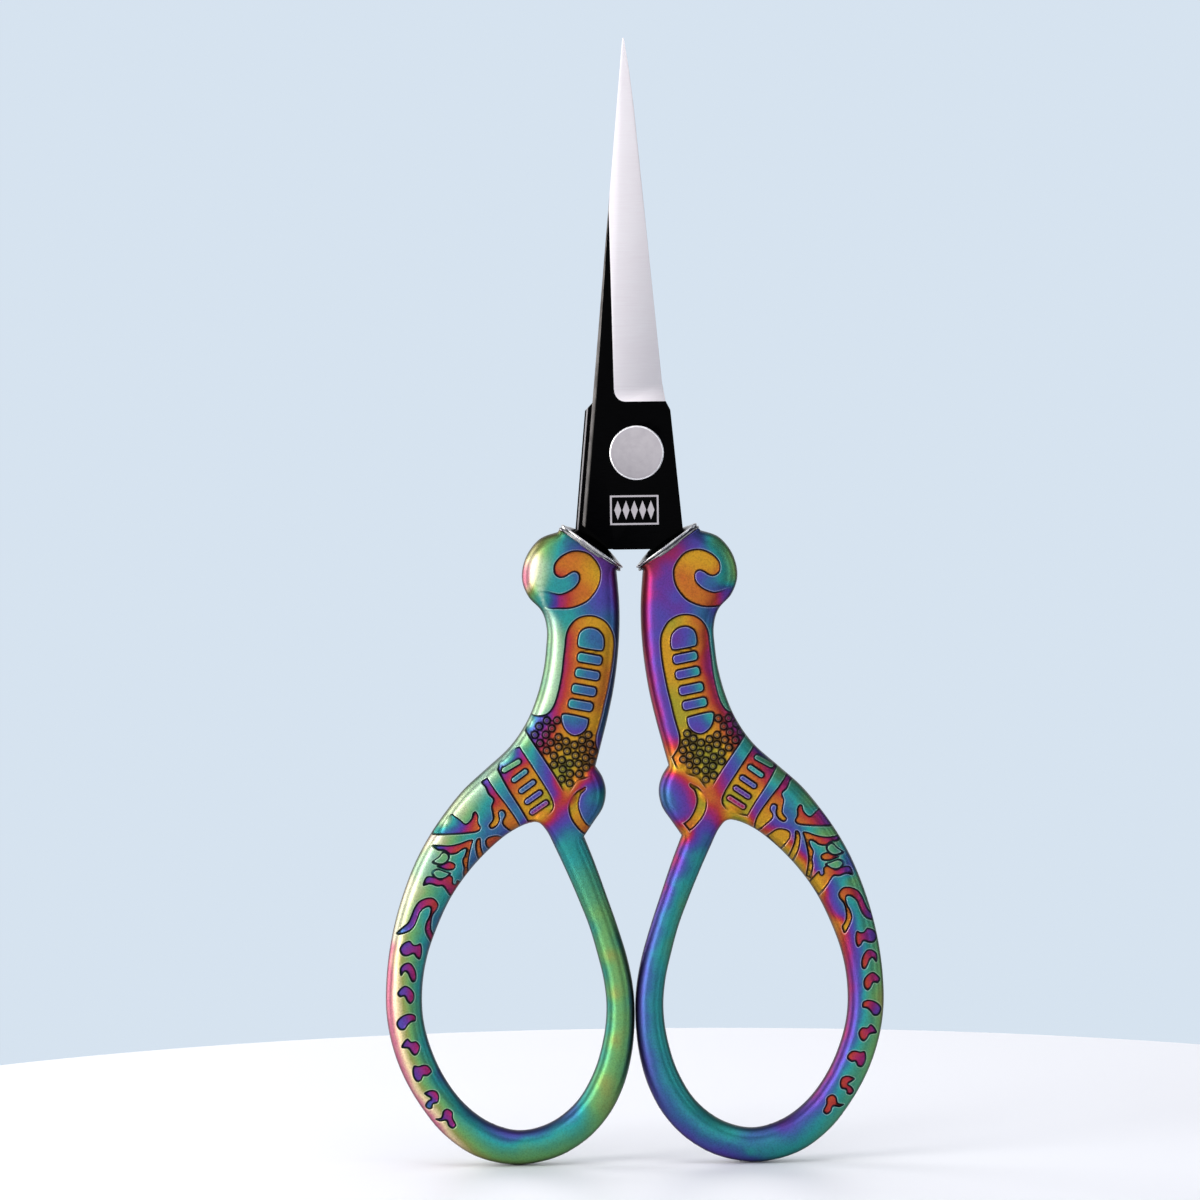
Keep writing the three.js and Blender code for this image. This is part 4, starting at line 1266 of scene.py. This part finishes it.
def ground_steel():
    """Bare ground steel with fine lines across the blade."""
    made, tree, shader, where = material("ground_steel")
    lines = node(tree, "Mapping", {"Vector": where, "Scale": (0.35, 0.35, 14.0)}).outputs["Vector"]
    fine = noise(tree, lines, 1.0, detail=4, roughness=0.7)
    broad = noise(tree, where, 0.25, detail=2)
    shade = weighed(tree, fine, broad, 0.7)
    colour = two_tone(tree, shade, (0.97, 0.935, 0.95), (1.0, 0.98, 0.99))
    surface(tree, shader, colour, fine, roughness=(0.28, 0.42))
    bump(tree, shader, fine, depth=0.006, strength=0.35)
    return made


def polish_and_highlight():
    """Bright steel with a faint mottle on the rounded edges: partly a polished edge, partly a painted
    highlight ring.
    """
    made, tree, shader, where = material("polish_and_highlight")
    mottle = noise(tree, where, 1.2)
    colour = two_tone(tree, mottle, (0.92, 0.91, 0.92), (1.0, 0.99, 1.0))
    surface(tree, shader, colour, mottle, roughness=(0.3, 0.4))
    return made


PIVOT_ROUGHNESS = (0.27, 0.37)
ORNAMENT_ROUGHNESS = (0.25, 0.35)


def satin_steel(name, roughness):
    """Satin steel turned about the pivot, with faint rings."""
    made, tree, shader, where = material(name)
    pivot = (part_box("pivot_nut")[0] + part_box("pivot_nut")[1]) / 2 / MM
    out = node(tree, "VectorMath", {0: where, 1: tuple(pivot)}, operation="SUBTRACT").outputs[0]
    flat = node(tree, "VectorMath", {0: out, 1: (1, 0, 1)}, operation="MULTIPLY").outputs[0]
    radius = node(tree, "VectorMath", {0: flat}, operation="LENGTH").outputs["Value"]
    turned = node(tree, "CombineXYZ", {"X": radius}).outputs["Vector"]
    rings = noise(tree, turned, 9.0, roughness=0.6)
    mottle = noise(tree, where, 1.5)
    shade = weighed(tree, rings, mottle, 0.5)
    colour = two_tone(tree, shade, (0.63, 0.61, 0.63), (0.69, 0.67, 0.685))
    surface(tree, shader, colour, rings, roughness)
    bump(tree, shader, rings, depth=0.004, strength=0.3)
    return made


# ---- the studio, in metres ----------------------------------------------------------------------

VIEW_CENTRE = Vector((-0.0034, 0, 0.0644))
VIEW_WIDTH = 0.1364
VIEW_DISTANCE = 0.62
VIEW_ELEVATION = math.radians(2.5)
VIEW_ROLL = math.radians(0.72)
NEAREST_SEEN = 0.01
SENSOR_WIDTH = 36

FLOOR_PROFILE = [(0.126, 0.0), (0.129, -0.0006), (0.13, -0.002), (0.13, -0.12)]  # (radius, height)
FLOOR_STEPS = 128
FLOOR_COLOUR = (0.95, 0.95, 0.97)
FLOOR_SHADE = 0.97  # the mottle's darkest, as a share of that colour
FLOOR_ROUGHNESS = 0.45

LIT_POINT = (0, 0, 0.06)
LIGHTS = [  # name, place behind the object (those in front are its mirror image), size, power, colour
    ("wall", (0, 1.1, 0.25), (1.1, 0.9), 3.7, (1, 1, 1)),
    ("left_strip", (-0.42, 0.3, 0.14), (0.24, 0.5), 2.3, (1.0, 0.97, 0.92)),
    ("right_strip", (0.5, 0.22, 0.12), (0.08, 0.5), 0.4, (0.9, 0.96, 1.0)),
]
BACK_POWER = 0.8  # of the lights behind, as a share of those in front
OVERHEAD = ((0, -0.1, 0.75), (0.8, 0.8), 3.2, (1, 1, 1))

ROOM_GLOW = (0.24, 0.26, 0.30, 1)
BACKDROP_COLOUR = (0.84, 0.89, 0.94)


def make_camera():
    camera = bpy.data.objects.new("camera", bpy.data.cameras.new("camera"))
    bpy.context.scene.collection.objects.link(camera)
    back = Vector((0, -math.cos(VIEW_ELEVATION), math.sin(VIEW_ELEVATION)))
    camera.location = VIEW_CENTRE + VIEW_DISTANCE * back
    turn = back.to_track_quat("Z", "Y").to_matrix() @ Matrix.Rotation(-VIEW_ROLL, 3, "Z")
    camera.rotation_euler = turn.to_euler()
    camera.data.sensor_width = SENSOR_WIDTH
    camera.data.lens = SENSOR_WIDTH * VIEW_DISTANCE / VIEW_WIDTH
    camera.data.clip_start = NEAREST_SEEN
    bpy.context.scene.camera = camera


def floor_paint():
    """Nearly white paint with a very broad, faint mottle."""
    made, tree, shader, where = material("floor_white")
    colour = linear(FLOOR_COLOUR)
    darker = tuple(c * FLOOR_SHADE for c in colour[:3]) + (1,)
    mottle = ramp(tree, noise(tree, where, 0.01, detail=2), [(0.3, darker), (0.7, colour)])
    tree.links.new(mottle, shader.inputs["Base Color"])
    shader.inputs["Roughness"].default_value = FLOOR_ROUGHNESS
    return made


def make_stage():
    """A pale round floor with a soft rim."""
    count = FLOOR_STEPS
    turn = np.linspace(0, 2 * math.pi, count, endpoint=False)
    points = [(0, 0, 0)]
    for radius, z in FLOOR_PROFILE:
        points += [(radius * math.cos(t) / MM, radius * math.sin(t) / MM, z / MM) for t in turn]
    faces = [(0, 1 + k, 1 + (k + 1) % count) for k in range(count)]
    faces += [face[::-1] for face in between_rings(len(FLOOR_PROFILE), count, first=1)]
    floor = build_mesh("floor", points, faces)
    floor.data.materials.append(floor_paint())


def soft_light(name, place, size, power, colour):
    lamp = bpy.data.lights.new(name, "AREA")
    lamp.shape = "RECTANGLE"
    lamp.size, lamp.size_y = size
    lamp.energy = power
    lamp.color = colour
    made = bpy.data.objects.new(name, lamp)
    bpy.context.scene.collection.objects.link(made)
    made.location = place
    aim = Vector(LIT_POINT) - Vector(place)
    made.rotation_euler = aim.to_track_quat("-Z", "Y").to_euler()
    made.visible_camera = False


def make_lights():
    """Soft boxes in front and behind, tall strips at the sides and a wide one overhead."""
    for depth, side, share in (("front", -1, 1.0), ("back", 1, BACK_POWER)):
        for name, (x, y, z), size, power, colour in LIGHTS:
            soft_light(f"{depth}_{name}", (x, side * y, z), size, power * share, colour)
    soft_light("overhead", *OVERHEAD)


def make_world():
    world = bpy.data.worlds.new("pale_room")
    bpy.context.scene.world = world
    world.use_nodes = True
    tree = world.node_tree
    seen = node(tree, "LightPath").outputs["Is Camera Ray"]
    colour = mixed(tree, seen, ROOM_GLOW, linear(BACKDROP_COLOUR))
    tree.links.new(colour, tree.nodes["Background"].inputs["Color"])
    bpy.context.scene.view_settings.view_transform = "Standard"


# ---- the assembly -------------------------------------------------------------------------------


def add_handles():
    for side, body, *looks in (
        ("left", "rear_half", LEFT_TOP, LEFT_GROUND, LEFT_HIGHLIGHT_STREAK, NO_SLIP),
        ("right", "front_half", RIGHT_TOP, RIGHT_GROUND, NO_HIGHLIGHT_STREAK, RIGHT_SLIP),
    ):
        casting = make_handle(side, *looks)
        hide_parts(f"{side}_handle")
        collar = make_collar(side)
        for piece in (casting, collar):
            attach(piece, body)


def add_steel():
    finishes = [black_coat(), ground_steel(), chamfer_coat()]
    for cad_node, body, facing in (
        ("front_blade", "front_half", -1), ("rear_blade", "rear_half", 1),
    ):
        name = f"{cad_node}_steel"
        choose = blade_face(facing)
        piece = refined(cad_node, name, BLADE_ROUNDING, finishes, choose, cut_at=SHOULDER_Z)
        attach(piece, body)
        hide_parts(cad_node)
    # the pivot pieces' rounded edges carry a painted highlight on polished steel
    finishes = [satin_steel("pivot_satin", PIVOT_ROUGHNESS), polish_and_highlight()]
    for cad_node in ("pivot_nut", "pivot_screw", "wave_washer"):
        piece = refined(cad_node, f"{cad_node}_steel", PIVOT_ROUNDING, finishes, any_face)
        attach(piece, "front_half")
        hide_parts(cad_node)
    ornament = make_ornament()
    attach(ornament, "front_half")


make_camera()
make_world()
make_stage()
make_lights()
add_handles()
add_steel()
